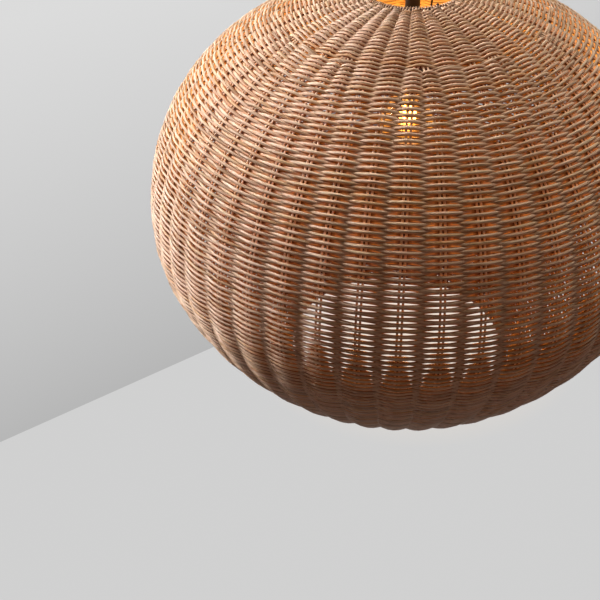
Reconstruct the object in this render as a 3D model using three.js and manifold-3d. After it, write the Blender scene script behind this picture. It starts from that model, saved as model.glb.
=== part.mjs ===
// Pendant ceiling light: a woven rattan globe hung on a rigid stem from a ceiling canopy.
// Millimetres, +Z up. The origin is the middle of the ceiling face, and the light hangs
// below z = 0. Each mesh is one closed piece of the lamp.

import * as THREE from 'three';
import { mergeVertices } from 'three/addons/utils/BufferGeometryUtils.js';
import Module from 'manifold-3d';

// ---------------------------------------------------------------- driving dimensions

const GAP = 0.3;                    // clearance between pieces that meet

// woven globe: two superellipse halves that meet at the widest round
const GLOBE_RADIUS = 300;
const CROWN_HEIGHT = 259;
const CROWN_POWER = 2.16;
const BOWL_HEIGHT = 277;
const BOWL_POWER = 1.73;
const TOP_OPENING_RADIUS = 51;
const BOTTOM_OPENING_RADIUS = 144;

// weave: pairs of stakes run from opening to opening, courses pass in and out of them
const STAKE_COUNT = 48;
const STAKE_TURN = THREE.MathUtils.degToRad(0.6);
const STAKE_WIDTH = 5;
const STAKE_DEPTH = 2.4;
const STAKE_SPACE = 2.6;            // least space left between neighbouring stakes
const WEAVER_THICKNESS = 2.6;
const PANEL_COUNT = 8;              // the stakes come in panels, each tied by its own rod
const BAY_COUNT = 7;                // straight bays of a stake; the crown fills the first
const COURSES_PER_BAY = 2;
const COURSE_SLIT = 4;              // open slit between one course and the next
const BINDER_HEIGHT = 4;            // rod that ties the upper ends of a panel's stakes
const BINDER_DEPTH = 3.6;
const RIM_HEIGHT = 5;               // rod under the stakes' lower ends
const RIM_DEPTH = 7;

// metal frame inside the weave
const HOOP_WIRE_RADIUS = 1.5;
const LEG_WIRE_RADIUS = 1.2;
const LEG_COUNT = 3;
const LEG_TURN = THREE.MathUtils.degToRad(61);
const LEG_RISE = 80;                // from the carrier ring up to the upper hoop
const LEG_FOOT = 6;                 // length of wire that lies on the carrier ring
const CARRIER_RADIUS = 35;
const CARRIER_THICKNESS = 1.6;

// ceiling fitting
const CANOPY_RADIUS = 60;
const CANOPY_HEIGHT = 30;
const CANOPY_WALL = 1.2;
const CANOPY_ROUND = 9;             // radius of the cup's lower edge
const BRACKET_WIDTH = 22;
const BRACKET_THICKNESS = 2;
const EAR_DROP = 17;
const SIDE_SCREW_DROP = 11;         // from the ceiling down to the canopy screws
const SIDE_SCREW_RADIUS = 2;
const SIDE_SCREW_LENGTH = 8;
const NIPPLE_RADIUS = 5;
const NIPPLE_BORE = 3.2;
const NIPPLE_TAIL = 9.5;            // length of nipple below the canopy
const WIRE_SLOT_WIDTH = 5;
const WIRE_SLOT_HEIGHT = 9;
const NUT_RADIUS = 9;               // over the corners of the nipple's hexagon nuts
const NUT_HEIGHT = 4.5;
const TERMINAL_LENGTH = 24;
const TERMINAL_WIDTH = 15;
const TERMINAL_HEIGHT = 11;
const TERMINAL_OFFSET = 28;         // from the axis to the middle of the block
const TERMINAL_RIB = 2.4;           // width of the rib between its poles
const TERMINAL_RIB_DROP = 1.4;      // how far the rib stands below the block
const WIRE_HOLE_RADIUS = 1.6;

// swivel and stem
const YOKE_PLATE = 2.4;
const YOKE_RADIUS = 12.5;
const CHEEK_THICKNESS = 2.8;
const PIVOT_DROP = 19;              // from the yoke's top face to the pivot
const EYE_RADIUS = 8;
const EYE_WIDTH = 14;
const PIN_RADIUS = 2.5;
const PIN_HEAD_RADIUS = 4.4;
const PIN_HEAD_HEIGHT = 2.6;
const PIN_NUT_HEIGHT = 3.4;
const PIN_TAIL = 1;                 // length of pivot screw past its nut
const SHOULDER_DROP = 11;           // from the pivot to the top of the knuckle's shoulder
const SHOULDER_HEIGHT = 3;
const SHOULDER_LIP = 1;             // how far the shoulder stands out past the stem
const SPIGOT_LENGTH = 14;
const STEM_RADIUS = 7.7;
const STEM_WALL = 1.5;
const STEM_LENGTH = 172;
const STEM_ENTRY = 6;               // length of stem inside the holder cap
const COLLAR_RADIUS = 9.4;
const COLLAR_HEIGHT = 12;
const COLLAR_CHAMFER = 0.9;

// lamp holder
const HOLDER_RADIUS = 19.5;
const HOLDER_WALL = 2.6;
const HOLDER_LENGTH = 40;
const CAP_RADIUS = 20.5;
const CAP_SHOULDER_RADIUS = 13;
const CAP_HEIGHT = 26;
const CAP_WALL = 2;
const CAP_CONE_HEIGHT = 6.5;        // sloping top of the cap
const CAP_EDGE_DROP = 2.5;          // rounded edge from the cone down to the wall
const CAP_EDGE_INSET = 1.5;
const CAP_ROOF = 3;                 // thickness of the cap round the stem
const SLEEVE_HEIGHT = 5;            // part of the body that enters the cap
const INSERT_HEIGHT = 8;
const INSERT_HOLE_RADIUS = 1.6;
const INSERT_HOLE_OFFSET = 10;      // from the axis to each screw hole
const INSERT_DROP = 3;              // from the holder body's shoulder to the insert
const LEDGE_HEIGHT = 1.8;
const RING_DROP = 20;               // from the holder body's shoulder to the upper ring
const RING_RADIUS = 25;
const UPPER_RING_HEIGHT = 3.2;
const LOWER_RING_HEIGHT = 8;
const GRIP_COUNT = 12;
const GRIP_DEPTH = 1.2;
const SHELL_RADIUS = 13.9;
const SHELL_WALL = 0.4;
const SHELL_LENGTH = 26;
const CONTACT_WIDTH = 6;
const CONTACT_LENGTH = 17;
const CONTACT_THICKNESS = 0.6;
const CONTACT_SPRING = 1.6;         // how far the contact's tongue stands off the insert

// bulb
const BULB_RADIUS = 30;
const BULB_GLASS_LENGTH = 78;
const BULB_CAP_RADIUS = 13.1;
const BULB_CAP_WALL = 0.5;
const BULB_CAP_LENGTH = 24;
const BULB_CAP_CONE_HEIGHT = 3;     // sloping end of the cap, under the insulator
const BULB_CAP_CONE_INSET = 2;
const BULB_NECK_ENTRY = 9;          // length of glass neck inside the cap
const GLASS_WALL = 0.8;
const INSULATOR_HEIGHT = 2.6;
const TIP_RADIUS = 4.4;
const TIP_HEIGHT = 1.2;
const TIP_BEVEL = 1;
const STEM_FOOT_HEIGHT = 2;         // foot of the inner glass, in the neck
const FLARE_HEIGHT = 3;
const FILAMENT_COUNT = 4;
const FILAMENT_RADIUS = 0.9;
const FILAMENT_LENGTH = 46;
const FILAMENT_SPREAD = 8;          // from the bulb's axis to each filament
const FILAMENT_SEAT = 2;            // how far the flare and button reach past them
const BUTTON_HEIGHT = 1.6;
const STALK_RADIUS = 1.8;

const FINE = 20;                    // sides of a large round piece
const COARSE = 12;                  // sides of a small one
const ROUGH = 8;                    // sides of a tiny one

// ------------------------------------------------------------------------- materials

const finish = (color, roughness, metalness) =>
  new THREE.MeshStandardMaterial({ color, roughness, metalness });

const RATTAN = finish(0xc9a77c, 0.75, 0);
const RATTAN_DARK = finish(0xa98258, 0.8, 0);
const BLACK_METAL = finish(0x16171a, 0.45, 0.7);
const STEEL = finish(0x9a9b9c, 0.4, 1);
const BRASS = finish(0xb5924c, 0.35, 1);
const BLACK_PLASTIC = finish(0x1a1a1c, 0.5, 0);
const WHITE_PLASTIC = finish(0xe6e4dd, 0.5, 0);
const CERAMIC = finish(0xf1ede2, 0.4, 0);
const CLEAR_GLASS = finish(0xfff1d6, 0.05, 0);
const GLOWING = finish(0xffc063, 0.6, 0);

// ---------------------------------------------------------------------- solid helpers

const wasm = await Module();
wasm.setup();

// Merges shared corners, drops empty triangles and turns the faces outwards.
function closed(geometry) {
  const bare = new THREE.BufferGeometry();
  bare.setAttribute('position', geometry.getAttribute('position').clone());
  if (geometry.index) bare.setIndex(geometry.index.clone());
  const merged = mergeVertices(bare, 1e-4);
  const points = merged.getAttribute('position');
  const [a, b, c] = [new THREE.Vector3(), new THREE.Vector3(), new THREE.Vector3()];
  const kept = [];
  let volume = 0;
  for (let i = 0; i < merged.index.count; i += 3) {
    const corners = [0, 1, 2].map((k) => merged.index.getX(i + k));
    if (new Set(corners).size < 3) continue;
    kept.push(corners);
    [a, b, c].forEach((v, k) => v.fromBufferAttribute(points, corners[k]));
    volume += a.dot(b.cross(c));
  }
  merged.setIndex(kept.flatMap((t) => (volume < 0 ? [t[0], t[2], t[1]] : t)));
  return merged;
}

function solid(geometry) {
  const { index, attributes } = closed(geometry);
  return new wasm.Manifold(new wasm.Mesh({
    numProp: 3,
    vertProperties: new Float32Array(attributes.position.array),
    triVerts: new Uint32Array(index.array),
  }));
}

function surface(manifold) {
  const { vertProperties, triVerts } = manifold.getMesh();
  const geometry = new THREE.BufferGeometry();
  geometry.setAttribute('position', new THREE.BufferAttribute(vertProperties, 3));
  geometry.setIndex(new THREE.BufferAttribute(triVerts, 1));
  return geometry;
}

const join = (...parts) => surface(parts.map(solid).reduce((a, b) => a.add(b)));

const cut = (body, ...tools) =>
  surface(tools.map(solid).reduce((a, b) => a.subtract(b), solid(body)));

// --------------------------------------------------------------------- shape helpers

// Turns a profile of [radius, height] points about the Z axis.
const revolve = (profile, sides = COARSE) =>
  new THREE.LatheGeometry(profile.map(([r, z]) => new THREE.Vector2(r, z)), sides)
    .rotateX(Math.PI / 2);

const tube = (outer, inner, low, high, sides = COARSE) =>
  revolve([[inner, low], [outer, low], [outer, high], [inner, high], [inner, low]], sides);

const rod = (radius, low, high, sides = COARSE) =>
  revolve([[0, low], [radius, low], [radius, high], [0, high]], sides);

const alongX = (geometry) => geometry.rotateY(Math.PI / 2);

const box = (width, depth, low, high) =>
  new THREE.BoxGeometry(width, depth, high - low).translate(0, 0, (low + high) / 2);

// A ring of round wire about the Z axis.
function hoop(radius, height, wireRadius, sides, around) {
  const profile = [];
  for (let i = 0; i <= sides; i += 1) {
    const angle = (i / sides) * 2 * Math.PI;
    profile.push([radius + wireRadius * Math.cos(angle), height + wireRadius * Math.sin(angle)]);
  }
  return revolve(profile, around);
}

// Skins a list of sections, each a closed loop of as many points. A ring joins its last
// section to its first; an open loft gets a flat cap at each end.
function loft(sections, ring) {
  const size = sections[0].length;
  const index = [];
  const quad = (a, b, c, d) => index.push(a, b, c, a, c, d);
  const spans = ring ? sections.length : sections.length - 1;
  for (let i = 0; i < spans; i += 1) {
    const [here, next] = [i * size, ((i + 1) % sections.length) * size];
    for (let k = 0; k < size; k += 1) {
      const after = (k + 1) % size;
      quad(here + k, here + after, next + after, next + k);
    }
  }
  if (!ring) {
    const last = (sections.length - 1) * size;
    for (let k = 1; k < size - 1; k += 1) {
      index.push(0, k + 1, k);
      index.push(last, last + k, last + k + 1);
    }
  }
  const geometry = new THREE.BufferGeometry().setFromPoints(sections.flat());
  geometry.setIndex(index);
  return geometry;
}

// A flat hexagon nut on the Z axis.
const nut = (radius, bore, low, height) =>
  cut(
    new THREE.CylinderGeometry(radius, radius, height, 6).rotateX(Math.PI / 2)
      .translate(0, 0, low + height / 2),
    rod(bore, low - 1, low + height + 1),
  );

// ------------------------------------------------------------- levels down from the ceiling

const LEVELS = (() => {
  const canopyFloor = -CANOPY_HEIGHT;
  const yokeTop = canopyFloor - GAP;
  const yokeNutTop = yokeTop - YOKE_PLATE - GAP;
  const pivot = yokeTop - PIVOT_DROP;
  const shoulder = pivot - SHOULDER_DROP - SHOULDER_HEIGHT;
  const stemTop = shoulder - GAP;
  const stemFoot = stemTop - STEM_LENGTH;
  const capTop = stemFoot + STEM_ENTRY;
  const bodyTop = capTop - CAP_HEIGHT - GAP;
  const insertTop = bodyTop - INSERT_DROP;
  const insertFoot = insertTop - INSERT_HEIGHT;
  const tongue = insertFoot - GAP - CONTACT_THICKNESS - CONTACT_SPRING;
  const tip = tongue - GAP;
  const bulbCapTop = tip - TIP_HEIGHT - INSULATOR_HEIGHT - 2 * GAP;
  const glassTop = bulbCapTop - BULB_CAP_LENGTH;
  const upperRing = bodyTop - RING_DROP;
  const carrierTop = upperRing - UPPER_RING_HEIGHT - GAP;
  const lowerRing = carrierTop - CARRIER_THICKNESS - GAP;
  const hoopLevel = carrierTop + LEG_RISE;
  return {
    canopyFloor, yokeTop, yokeNutTop, pivot, shoulder, stemTop, stemFoot, capTop, bodyTop,
    insertTop, insertFoot, tongue, tip, bulbCapTop, glassTop, upperRing, carrierTop,
    lowerRing, hoopLevel,
  };
})();

// ----------------------------------------------------------------------------- the weave

const WEAVE_OFFSET = STAKE_DEPTH / 2 + GAP + WEAVER_THICKNESS / 2;  // stake to course middle
const WALL_HALF = WEAVE_OFFSET + WEAVER_THICKNESS / 2;

// Middle line of the woven wall, as (radius, height above the widest round), from the
// upper opening to the lower one.
class WallCurve extends THREE.Curve {
  constructor() {
    super();
    const reach = (opening, power) => Math.acos((opening / GLOBE_RADIUS) ** (power / 2));
    this.from = reach(TOP_OPENING_RADIUS, CROWN_POWER);
    this.to = -reach(BOTTOM_OPENING_RADIUS, BOWL_POWER);
    this.arcLengthDivisions = 400;
  }

  outside(angle) {
    const [height, power] = angle > 0 ? [CROWN_HEIGHT, CROWN_POWER] : [BOWL_HEIGHT, BOWL_POWER];
    const rise = height * Math.abs(Math.sin(angle)) ** (2 / power);
    return new THREE.Vector2(
      GLOBE_RADIUS * Math.cos(angle) ** (2 / power),
      Math.sign(angle) * rise,
    );
  }

  getPoint(t, target = new THREE.Vector2()) {
    const angle = THREE.MathUtils.lerp(this.from, this.to, t);
    const step = (this.to - this.from) * 1e-4;
    const along = this.outside(angle + step).sub(this.outside(angle - step)).normalize();
    const inward = new THREE.Vector2(along.y, -along.x);
    return target.copy(this.outside(angle)).addScaledVector(inward, WALL_HALF);
  }
}

const KNOTS = new WallCurve().getSpacedPoints(BAY_COUNT);
const WIDEST_LEVEL = LEVELS.hoopLevel - KNOTS[0].y;

// One straight bay of the wall, with its outward direction.
function bay(i) {
  const [top, foot] = [KNOTS[i], KNOTS[i + 1]];
  const along = foot.clone().sub(top);
  const length = along.length();
  along.divideScalar(length);
  return { top, along, length, outward: new THREE.Vector2(-along.y, along.x) };
}

// The point of a bay that lies so far down it and so far outside its middle line.
const bayPoint = ({ top, along, outward }, down, out) =>
  top.clone().addScaledVector(along, down).addScaledVector(outward, out);

// Places a (radius, height) point at an angle about the axis, with a shift along the round.
function around({ x: radius, y: height }, angle, shift = 0) {
  const point = new THREE.Vector3(radius, shift, WIDEST_LEVEL + height);
  return point.applyAxisAngle(new THREE.Vector3(0, 0, 1), angle);
}

const stakeAngle = (i) => STAKE_TURN - Math.PI / 2 + (i / STAKE_COUNT) * 2 * Math.PI;

// Stakes start halfway into the binder and end just above the rim rod.
const STAKE_KNOTS = [
  bayPoint(bay(0), BINDER_HEIGHT / 2, 0),
  ...KNOTS.slice(1, BAY_COUNT),
  bayPoint(bay(BAY_COUNT - 1), bay(BAY_COUNT - 1).length - RIM_HEIGHT - GAP, 0),
];

// A round wire through (radius, height) points, mitred at each, in the plane at an angle.
function bentWire(path, radius, sides, angle) {
  const sections = path.map((point, k) => {
    const [before, after] = [path[Math.max(k - 1, 0)], path[Math.min(k + 1, path.length - 1)]];
    const along = after.clone().sub(before).normalize();
    const across = new THREE.Vector2(-along.y, along.x);
    return Array.from({ length: sides }, (_, i) => {
      const turn = (i / sides) * 2 * Math.PI;
      const side = point.clone().addScaledVector(across, radius * Math.cos(turn));
      return around(side, angle, radius * Math.sin(turn));
    });
  });
  return loft(sections, false);
}

// A pair of stakes as one slim lens-shaped strip that follows the wall.
function stake(i) {
  const sections = STAKE_KNOTS.map((knot, k) => {
    const [before, after] = [
      STAKE_KNOTS[Math.max(k - 1, 0)], STAKE_KNOTS[Math.min(k + 1, BAY_COUNT)],
    ];
    const along = after.clone().sub(before).normalize();
    const outward = new THREE.Vector2(-along.y, along.x);
    const spacing = (2 * Math.PI * knot.x) / STAKE_COUNT;
    const half = Math.min(STAKE_WIDTH, spacing - STAKE_SPACE) / 2;
    const [outer, inner] = [1, -1].map((side) =>
      knot.clone().addScaledVector(outward, (side * STAKE_DEPTH) / 2));
    return [
      around(outer, stakeAngle(i)),
      around(knot, stakeAngle(i), half),
      around(inner, stakeAngle(i)),
      around(knot, stakeAngle(i), -half),
    ];
  });
  return loft(sections, false);
}

// The section of a strip of wall at an angle: it lies between two distances down a bay,
// and its middle so far outside the wall's middle line.
function stripSection(place, from, to, thickness, side, angle) {
  const [outer, inner] = [side + thickness / 2, side - thickness / 2];
  return [
    bayPoint(place, from, outer),
    bayPoint(place, to, outer),
    bayPoint(place, to, inner),
    bayPoint(place, from, inner),
  ].map((point) => around(point, angle));
}

// A closed round of the wall. sideOf says on which side of the middle it passes a stake.
const round = (place, from, to, thickness, sideOf) => loft(
  Array.from({ length: STAKE_COUNT }, (_, i) =>
    stripSection(place, from, to, thickness, sideOf(i), stakeAngle(i))),
  true,
);

// The rod that ties a panel's stakes, with its corners halfway between stakes and its ends
// just clear of the next panels' rods.
function binder(first, last) {
  const place = bay(0);
  const slack = (GAP / 2 / (2 * Math.PI * place.top.x)) * STAKE_COUNT;
  const stations = [first - 0.5 + slack];
  for (let i = first; i < last; i += 1) stations.push(i + 0.5);
  stations.push(last + 0.5 - slack);
  return loft(stations.map((i) =>
    stripSection(place, 0, BINDER_HEIGHT, BINDER_DEPTH, 0, stakeAngle(i))), false);
}

// A panel of neighbouring stakes under their length of binder.
function stakePanel(number) {
  const [first, next] = [number, number + 1]
    .map((n) => Math.round((n * STAKE_COUNT) / PANEL_COUNT));
  const stakes = Array.from({ length: next - first }, (_, i) => stake(first + i));
  return join(binder(first, next - 1), ...stakes);
}

function rimRod() {
  const place = bay(BAY_COUNT - 1);
  return round(place, place.length - RIM_HEIGHT, place.length, RIM_DEPTH, () => 0);
}

// A course of weavers: outside one stake, inside the next, and opposite to its neighbours.
function course(number) {
  const bayNumber = 1 + Math.floor(number / COURSES_PER_BAY);
  const place = bay(bayNumber);
  const room = place.length - (bayNumber === BAY_COUNT - 1 ? RIM_HEIGHT : 0);
  const pitch = room / COURSES_PER_BAY;
  const from = (number % COURSES_PER_BAY) * pitch + COURSE_SLIT / 2;
  const sideOf = (i) => ((i + number) % 2 === 0 ? WEAVE_OFFSET : -WEAVE_OFFSET);
  return round(place, from, from + pitch - COURSE_SLIT, WEAVER_THICKNESS, sideOf);
}

// The crown's rounds are packed tight, so its two faces are whole skins over the stakes.
function crownSkin(side) {
  const place = bay(0);
  const from = BINDER_HEIGHT + GAP;
  const to = place.length - COURSE_SLIT / 2;
  return round(place, from, to, WEAVER_THICKNESS, () => side * WEAVE_OFFSET);
}

// ----------------------------------------------------------------------- the metal frame

const UPPER_HOOP_RADIUS = KNOTS[0].x - GAP - HOOP_WIRE_RADIUS;

const upperHoop = () => hoop(UPPER_HOOP_RADIUS, LEVELS.hoopLevel, HOOP_WIRE_RADIUS, 5, 24);

const carrierRing = () => tube(
  CARRIER_RADIUS, HOLDER_RADIUS + GAP,
  LEVELS.carrierTop - CARRIER_THICKNESS, LEVELS.carrierTop, FINE,
);

// A wire that lies on the carrier ring, climbs to the upper hoop and hooks over it.
function carrierLeg(number) {
  const angle = LEG_TURN + (number / LEG_COUNT) * 2 * Math.PI;
  const at = (x, y) => new THREE.Vector2(x, y - WIDEST_LEVEL);
  const bend = (...corners) => new THREE.QuadraticBezierCurve(...corners).getPoints(3);
  const reach = HOOP_WIRE_RADIUS + GAP + LEG_WIRE_RADIUS;
  const foot = LEVELS.carrierTop + GAP + LEG_WIRE_RADIUS;
  const heel = CARRIER_RADIUS - LEG_WIRE_RADIUS;
  const round = 3 * LEG_WIRE_RADIUS;
  const { hoopLevel } = LEVELS;
  const path = [
    at(heel - LEG_FOOT, foot),
    ...bend(at(heel - round, foot), at(heel, foot), at(heel, foot + round)),
    ...bend(
      at(UPPER_HOOP_RADIUS - reach, hoopLevel),
      at(UPPER_HOOP_RADIUS - reach, hoopLevel + reach),
      at(UPPER_HOOP_RADIUS, hoopLevel + reach),
    ),
  ];
  return bentWire(path, LEG_WIRE_RADIUS, 5, angle);
}

// --------------------------------------------------------------------- ceiling fitting

// Canopy cup: a spun disc with a rounded edge, open towards the ceiling.
function canopyCup() {
  const floor = LEVELS.canopyFloor;
  const corner = (radius, steps) => Array.from({ length: steps + 1 }, (_, i) => {
    const angle = (i / steps) * (Math.PI / 2);
    return [
      CANOPY_RADIUS - CANOPY_ROUND + radius * Math.sin(angle),
      floor + CANOPY_ROUND - radius * Math.cos(angle),
    ];
  });
  const profile = [
    [NIPPLE_RADIUS + GAP, floor],
    ...corner(CANOPY_ROUND, 3),
    [CANOPY_RADIUS, -GAP],
    [CANOPY_RADIUS - CANOPY_WALL, -GAP],
    ...corner(CANOPY_ROUND - CANOPY_WALL, 3).reverse(),
    [NIPPLE_RADIUS + GAP, floor + CANOPY_WALL],
    [NIPPLE_RADIUS + GAP, floor],
  ];
  const hole = alongX(rod(SIDE_SCREW_RADIUS + GAP, -2 * CANOPY_RADIUS, 2 * CANOPY_RADIUS))
    .translate(0, 0, -SIDE_SCREW_DROP);
  return cut(revolve(profile, FINE), hole);
}

// The ears stop just short of the cup's faceted wall at the strap's corners.
const EAR_FACE = (() => {
  const wall = (CANOPY_RADIUS - CANOPY_WALL) * Math.cos(Math.PI / FINE);
  return Math.sqrt(wall ** 2 - (BRACKET_WIDTH / 2) ** 2) - GAP;
})();

function ceilingBracket() {
  const strap = box(2 * EAR_FACE, BRACKET_WIDTH, -BRACKET_THICKNESS, 0);
  const ear = (side) => box(BRACKET_THICKNESS, BRACKET_WIDTH, -EAR_DROP, -BRACKET_THICKNESS / 2)
    .translate(side * (EAR_FACE - BRACKET_THICKNESS / 2), 0, 0);
  const hole = alongX(rod(SIDE_SCREW_RADIUS + GAP, -CANOPY_RADIUS, CANOPY_RADIUS))
    .translate(0, 0, -SIDE_SCREW_DROP);
  return cut(join(strap, ear(1), ear(-1)), hole);
}

// Pan-headed screw from the side, through the cup and into an ear.
function canopyScrew(side) {
  const head = CANOPY_RADIUS + GAP;
  const profile = [
    [0, head - SIDE_SCREW_LENGTH],
    [SIDE_SCREW_RADIUS, head - SIDE_SCREW_LENGTH],
    [SIDE_SCREW_RADIUS, head],
    [2 * SIDE_SCREW_RADIUS, head],
    [2 * SIDE_SCREW_RADIUS, head + 0.6 * SIDE_SCREW_RADIUS],
    [SIDE_SCREW_RADIUS, head + SIDE_SCREW_RADIUS],
    [0, head + SIDE_SCREW_RADIUS],
  ];
  return alongX(revolve(profile)).rotateZ(side > 0 ? 0 : Math.PI)
    .translate(0, 0, -SIDE_SCREW_DROP);
}

// Threaded tube that carries the lamp, with a slot that lets the wires in.
function nipple() {
  const top = -BRACKET_THICKNESS - GAP;
  const shaft = tube(NIPPLE_RADIUS, NIPPLE_BORE, LEVELS.canopyFloor - NIPPLE_TAIL, top);
  const slotTop = top - NUT_HEIGHT - GAP;
  const slot = new THREE.BoxGeometry(WIRE_SLOT_WIDTH, 2 * NIPPLE_RADIUS, WIRE_SLOT_HEIGHT)
    .translate(0, NIPPLE_RADIUS, slotTop - WIRE_SLOT_HEIGHT / 2);
  return cut(shaft, slot);
}

const nippleNut = () => nut(
  NUT_RADIUS, NIPPLE_RADIUS + GAP, -BRACKET_THICKNESS - GAP - NUT_HEIGHT, NUT_HEIGHT,
);

const yokeNut = () => nut(
  NUT_RADIUS, NIPPLE_RADIUS + GAP, LEVELS.yokeNutTop - NUT_HEIGHT, NUT_HEIGHT,
);

// Terminal block under the strap, with two wire holes and a rib between its poles.
function terminalBlock() {
  const top = -BRACKET_THICKNESS - GAP;
  const low = top - TERMINAL_HEIGHT;
  const body = box(TERMINAL_LENGTH, TERMINAL_WIDTH, low, top);
  const rib = box(TERMINAL_RIB, TERMINAL_WIDTH, low - TERMINAL_RIB_DROP, top - GAP);
  const drill = [WIRE_HOLE_RADIUS, WIRE_HOLE_RADIUS, 2 * TERMINAL_WIDTH, ROUGH];
  const way = (side) => new THREE.CylinderGeometry(...drill)
    .translate(side * (TERMINAL_LENGTH / 4), 0, (low + top) / 2);
  return cut(join(body, rib), way(1), way(-1)).translate(TERMINAL_OFFSET, 0, 0);
}

// ---------------------------------------------------------------------- swivel and stem

// Outline of an ear: straight sides down to a round end about the pivot.
function earPlate(radius, reach, thickness) {
  const outline = new THREE.Shape();
  outline.moveTo(-radius, reach);
  outline.absarc(0, 0, radius, Math.PI, 2 * Math.PI, false);
  outline.lineTo(radius, reach);
  outline.closePath();
  return new THREE.ExtrudeGeometry(outline, {
    depth: thickness, bevelEnabled: false, curveSegments: 10,
  }).translate(0, 0, -thickness / 2).rotateX(Math.PI / 2).rotateZ(Math.PI / 2);
}

const pivotHole = () => alongX(rod(PIN_RADIUS + GAP, -2 * EYE_WIDTH, 2 * EYE_WIDTH))
  .translate(0, 0, LEVELS.pivot);

const CHEEK_MIDDLE = EYE_WIDTH / 2 + GAP + CHEEK_THICKNESS / 2;
const CHEEK_FACE = CHEEK_MIDDLE + CHEEK_THICKNESS / 2;

function swivelYoke() {
  const plate = tube(
    YOKE_RADIUS, NIPPLE_RADIUS + GAP, LEVELS.yokeTop - YOKE_PLATE, LEVELS.yokeTop,
  );
  const cheek = (side) =>
    earPlate(EYE_RADIUS, PIVOT_DROP - YOKE_PLATE / 2, CHEEK_THICKNESS)
      .translate(side * CHEEK_MIDDLE, 0, LEVELS.pivot);
  const nutRoom = rod(
    NUT_RADIUS + GAP, LEVELS.yokeNutTop - NUT_HEIGHT - GAP, LEVELS.yokeTop - YOKE_PLATE,
  );
  return cut(join(cut(join(cheek(1), cheek(-1)), nutRoom), plate), pivotHole());
}

function pivotScrew() {
  const head = CHEEK_FACE + GAP;
  const tail = -CHEEK_FACE - GAP - PIN_NUT_HEIGHT - PIN_TAIL;
  const profile = [
    [0, tail],
    [PIN_RADIUS, tail],
    [PIN_RADIUS, head],
    [PIN_HEAD_RADIUS, head],
    [PIN_HEAD_RADIUS, head + PIN_HEAD_HEIGHT],
    [0, head + PIN_HEAD_HEIGHT],
  ];
  return alongX(revolve(profile)).translate(0, 0, LEVELS.pivot);
}

const pivotNut = () => alongX(nut(
  PIN_HEAD_RADIUS, PIN_RADIUS + GAP, -CHEEK_FACE - GAP - PIN_NUT_HEIGHT, PIN_NUT_HEIGHT,
)).translate(0, 0, LEVELS.pivot);

// Knuckle: an eye on the pivot, a shoulder that the stem butts on and a spigot inside it.
function stemKnuckle() {
  const spigot = STEM_RADIUS - STEM_WALL - GAP;
  const eye = earPlate(EYE_RADIUS, SHOULDER_DROP + SHOULDER_HEIGHT / 2, EYE_WIDTH)
    .rotateX(Math.PI).translate(0, 0, LEVELS.pivot);
  const lip = STEM_RADIUS + SHOULDER_LIP;
  const foot = revolve([
    [0, LEVELS.shoulder + SHOULDER_HEIGHT],
    [lip, LEVELS.shoulder + SHOULDER_HEIGHT],
    [lip, LEVELS.shoulder],
    [spigot, LEVELS.shoulder],
    [spigot, LEVELS.shoulder - SPIGOT_LENGTH],
    [0, LEVELS.shoulder - SPIGOT_LENGTH],
  ]);
  return cut(join(eye, foot), pivotHole());
}

const stemTube = () => tube(
  STEM_RADIUS, STEM_RADIUS - STEM_WALL, LEVELS.stemFoot, LEVELS.stemTop, FINE,
);

// Collar nut where the stem enters the lamp holder, with a chamfered top edge.
function stemCollar() {
  const [bore, low] = [STEM_RADIUS + GAP, LEVELS.capTop + GAP];
  const high = low + COLLAR_HEIGHT;
  return revolve([
    [bore, low], [COLLAR_RADIUS, low], [COLLAR_RADIUS, high - COLLAR_CHAMFER],
    [COLLAR_RADIUS - COLLAR_CHAMFER, high], [bore, high], [bore, low],
  ], FINE);
}

// -------------------------------------------------------------------------- lamp holder

function holderCap() {
  const [top, low, bore] = [LEVELS.capTop, LEVELS.capTop - CAP_HEIGHT, STEM_RADIUS + GAP];
  const edge = top - CAP_CONE_HEIGHT;
  return revolve([
    [bore, top],
    [CAP_SHOULDER_RADIUS, top],
    [CAP_RADIUS - CAP_EDGE_INSET, edge],
    [CAP_RADIUS, edge - CAP_EDGE_DROP],
    [CAP_RADIUS, low],
    [CAP_RADIUS - CAP_WALL, low],
    [CAP_RADIUS - CAP_WALL, edge - CAP_ROOF],
    [CAP_SHOULDER_RADIUS - CAP_WALL, top - CAP_ROOF],
    [bore, top - CAP_ROOF],
    [bore, top],
  ], FINE);
}

// Holder body: a sleeve inside the cap, a threaded skirt and a ledge under the insert.
function holderBody() {
  const { bodyTop, insertFoot } = LEVELS;
  const inner = HOLDER_RADIUS - HOLDER_WALL;
  const sleeve = CAP_RADIUS - CAP_WALL - GAP;
  const ledge = SHELL_RADIUS + GAP;
  const foot = bodyTop - HOLDER_LENGTH;
  return revolve([
    [inner, bodyTop + SLEEVE_HEIGHT],
    [sleeve, bodyTop + SLEEVE_HEIGHT],
    [sleeve, bodyTop],
    [HOLDER_RADIUS, bodyTop],
    [HOLDER_RADIUS, foot],
    [inner, foot],
    [inner, insertFoot - GAP - LEDGE_HEIGHT],
    [ledge, insertFoot - GAP - LEDGE_HEIGHT],
    [ledge, insertFoot - GAP],
    [inner, insertFoot - GAP],
    [inner, bodyTop + SLEEVE_HEIGHT],
  ], FINE);
}

function ceramicInsert() {
  const radius = HOLDER_RADIUS - HOLDER_WALL - GAP;
  const { insertTop, insertFoot } = LEVELS;
  const screwHole = (side) =>
    rod(INSERT_HOLE_RADIUS, insertFoot - 1, insertTop + 1, ROUGH)
      .translate(0, side * INSERT_HOLE_OFFSET, 0);
  return cut(rod(radius, insertFoot, insertTop), screwHole(1), screwHole(-1));
}

const threadShell = () => tube(
  SHELL_RADIUS, SHELL_RADIUS - SHELL_WALL,
  LEVELS.insertFoot - GAP - SHELL_LENGTH, LEVELS.insertFoot - GAP, FINE,
);

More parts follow.
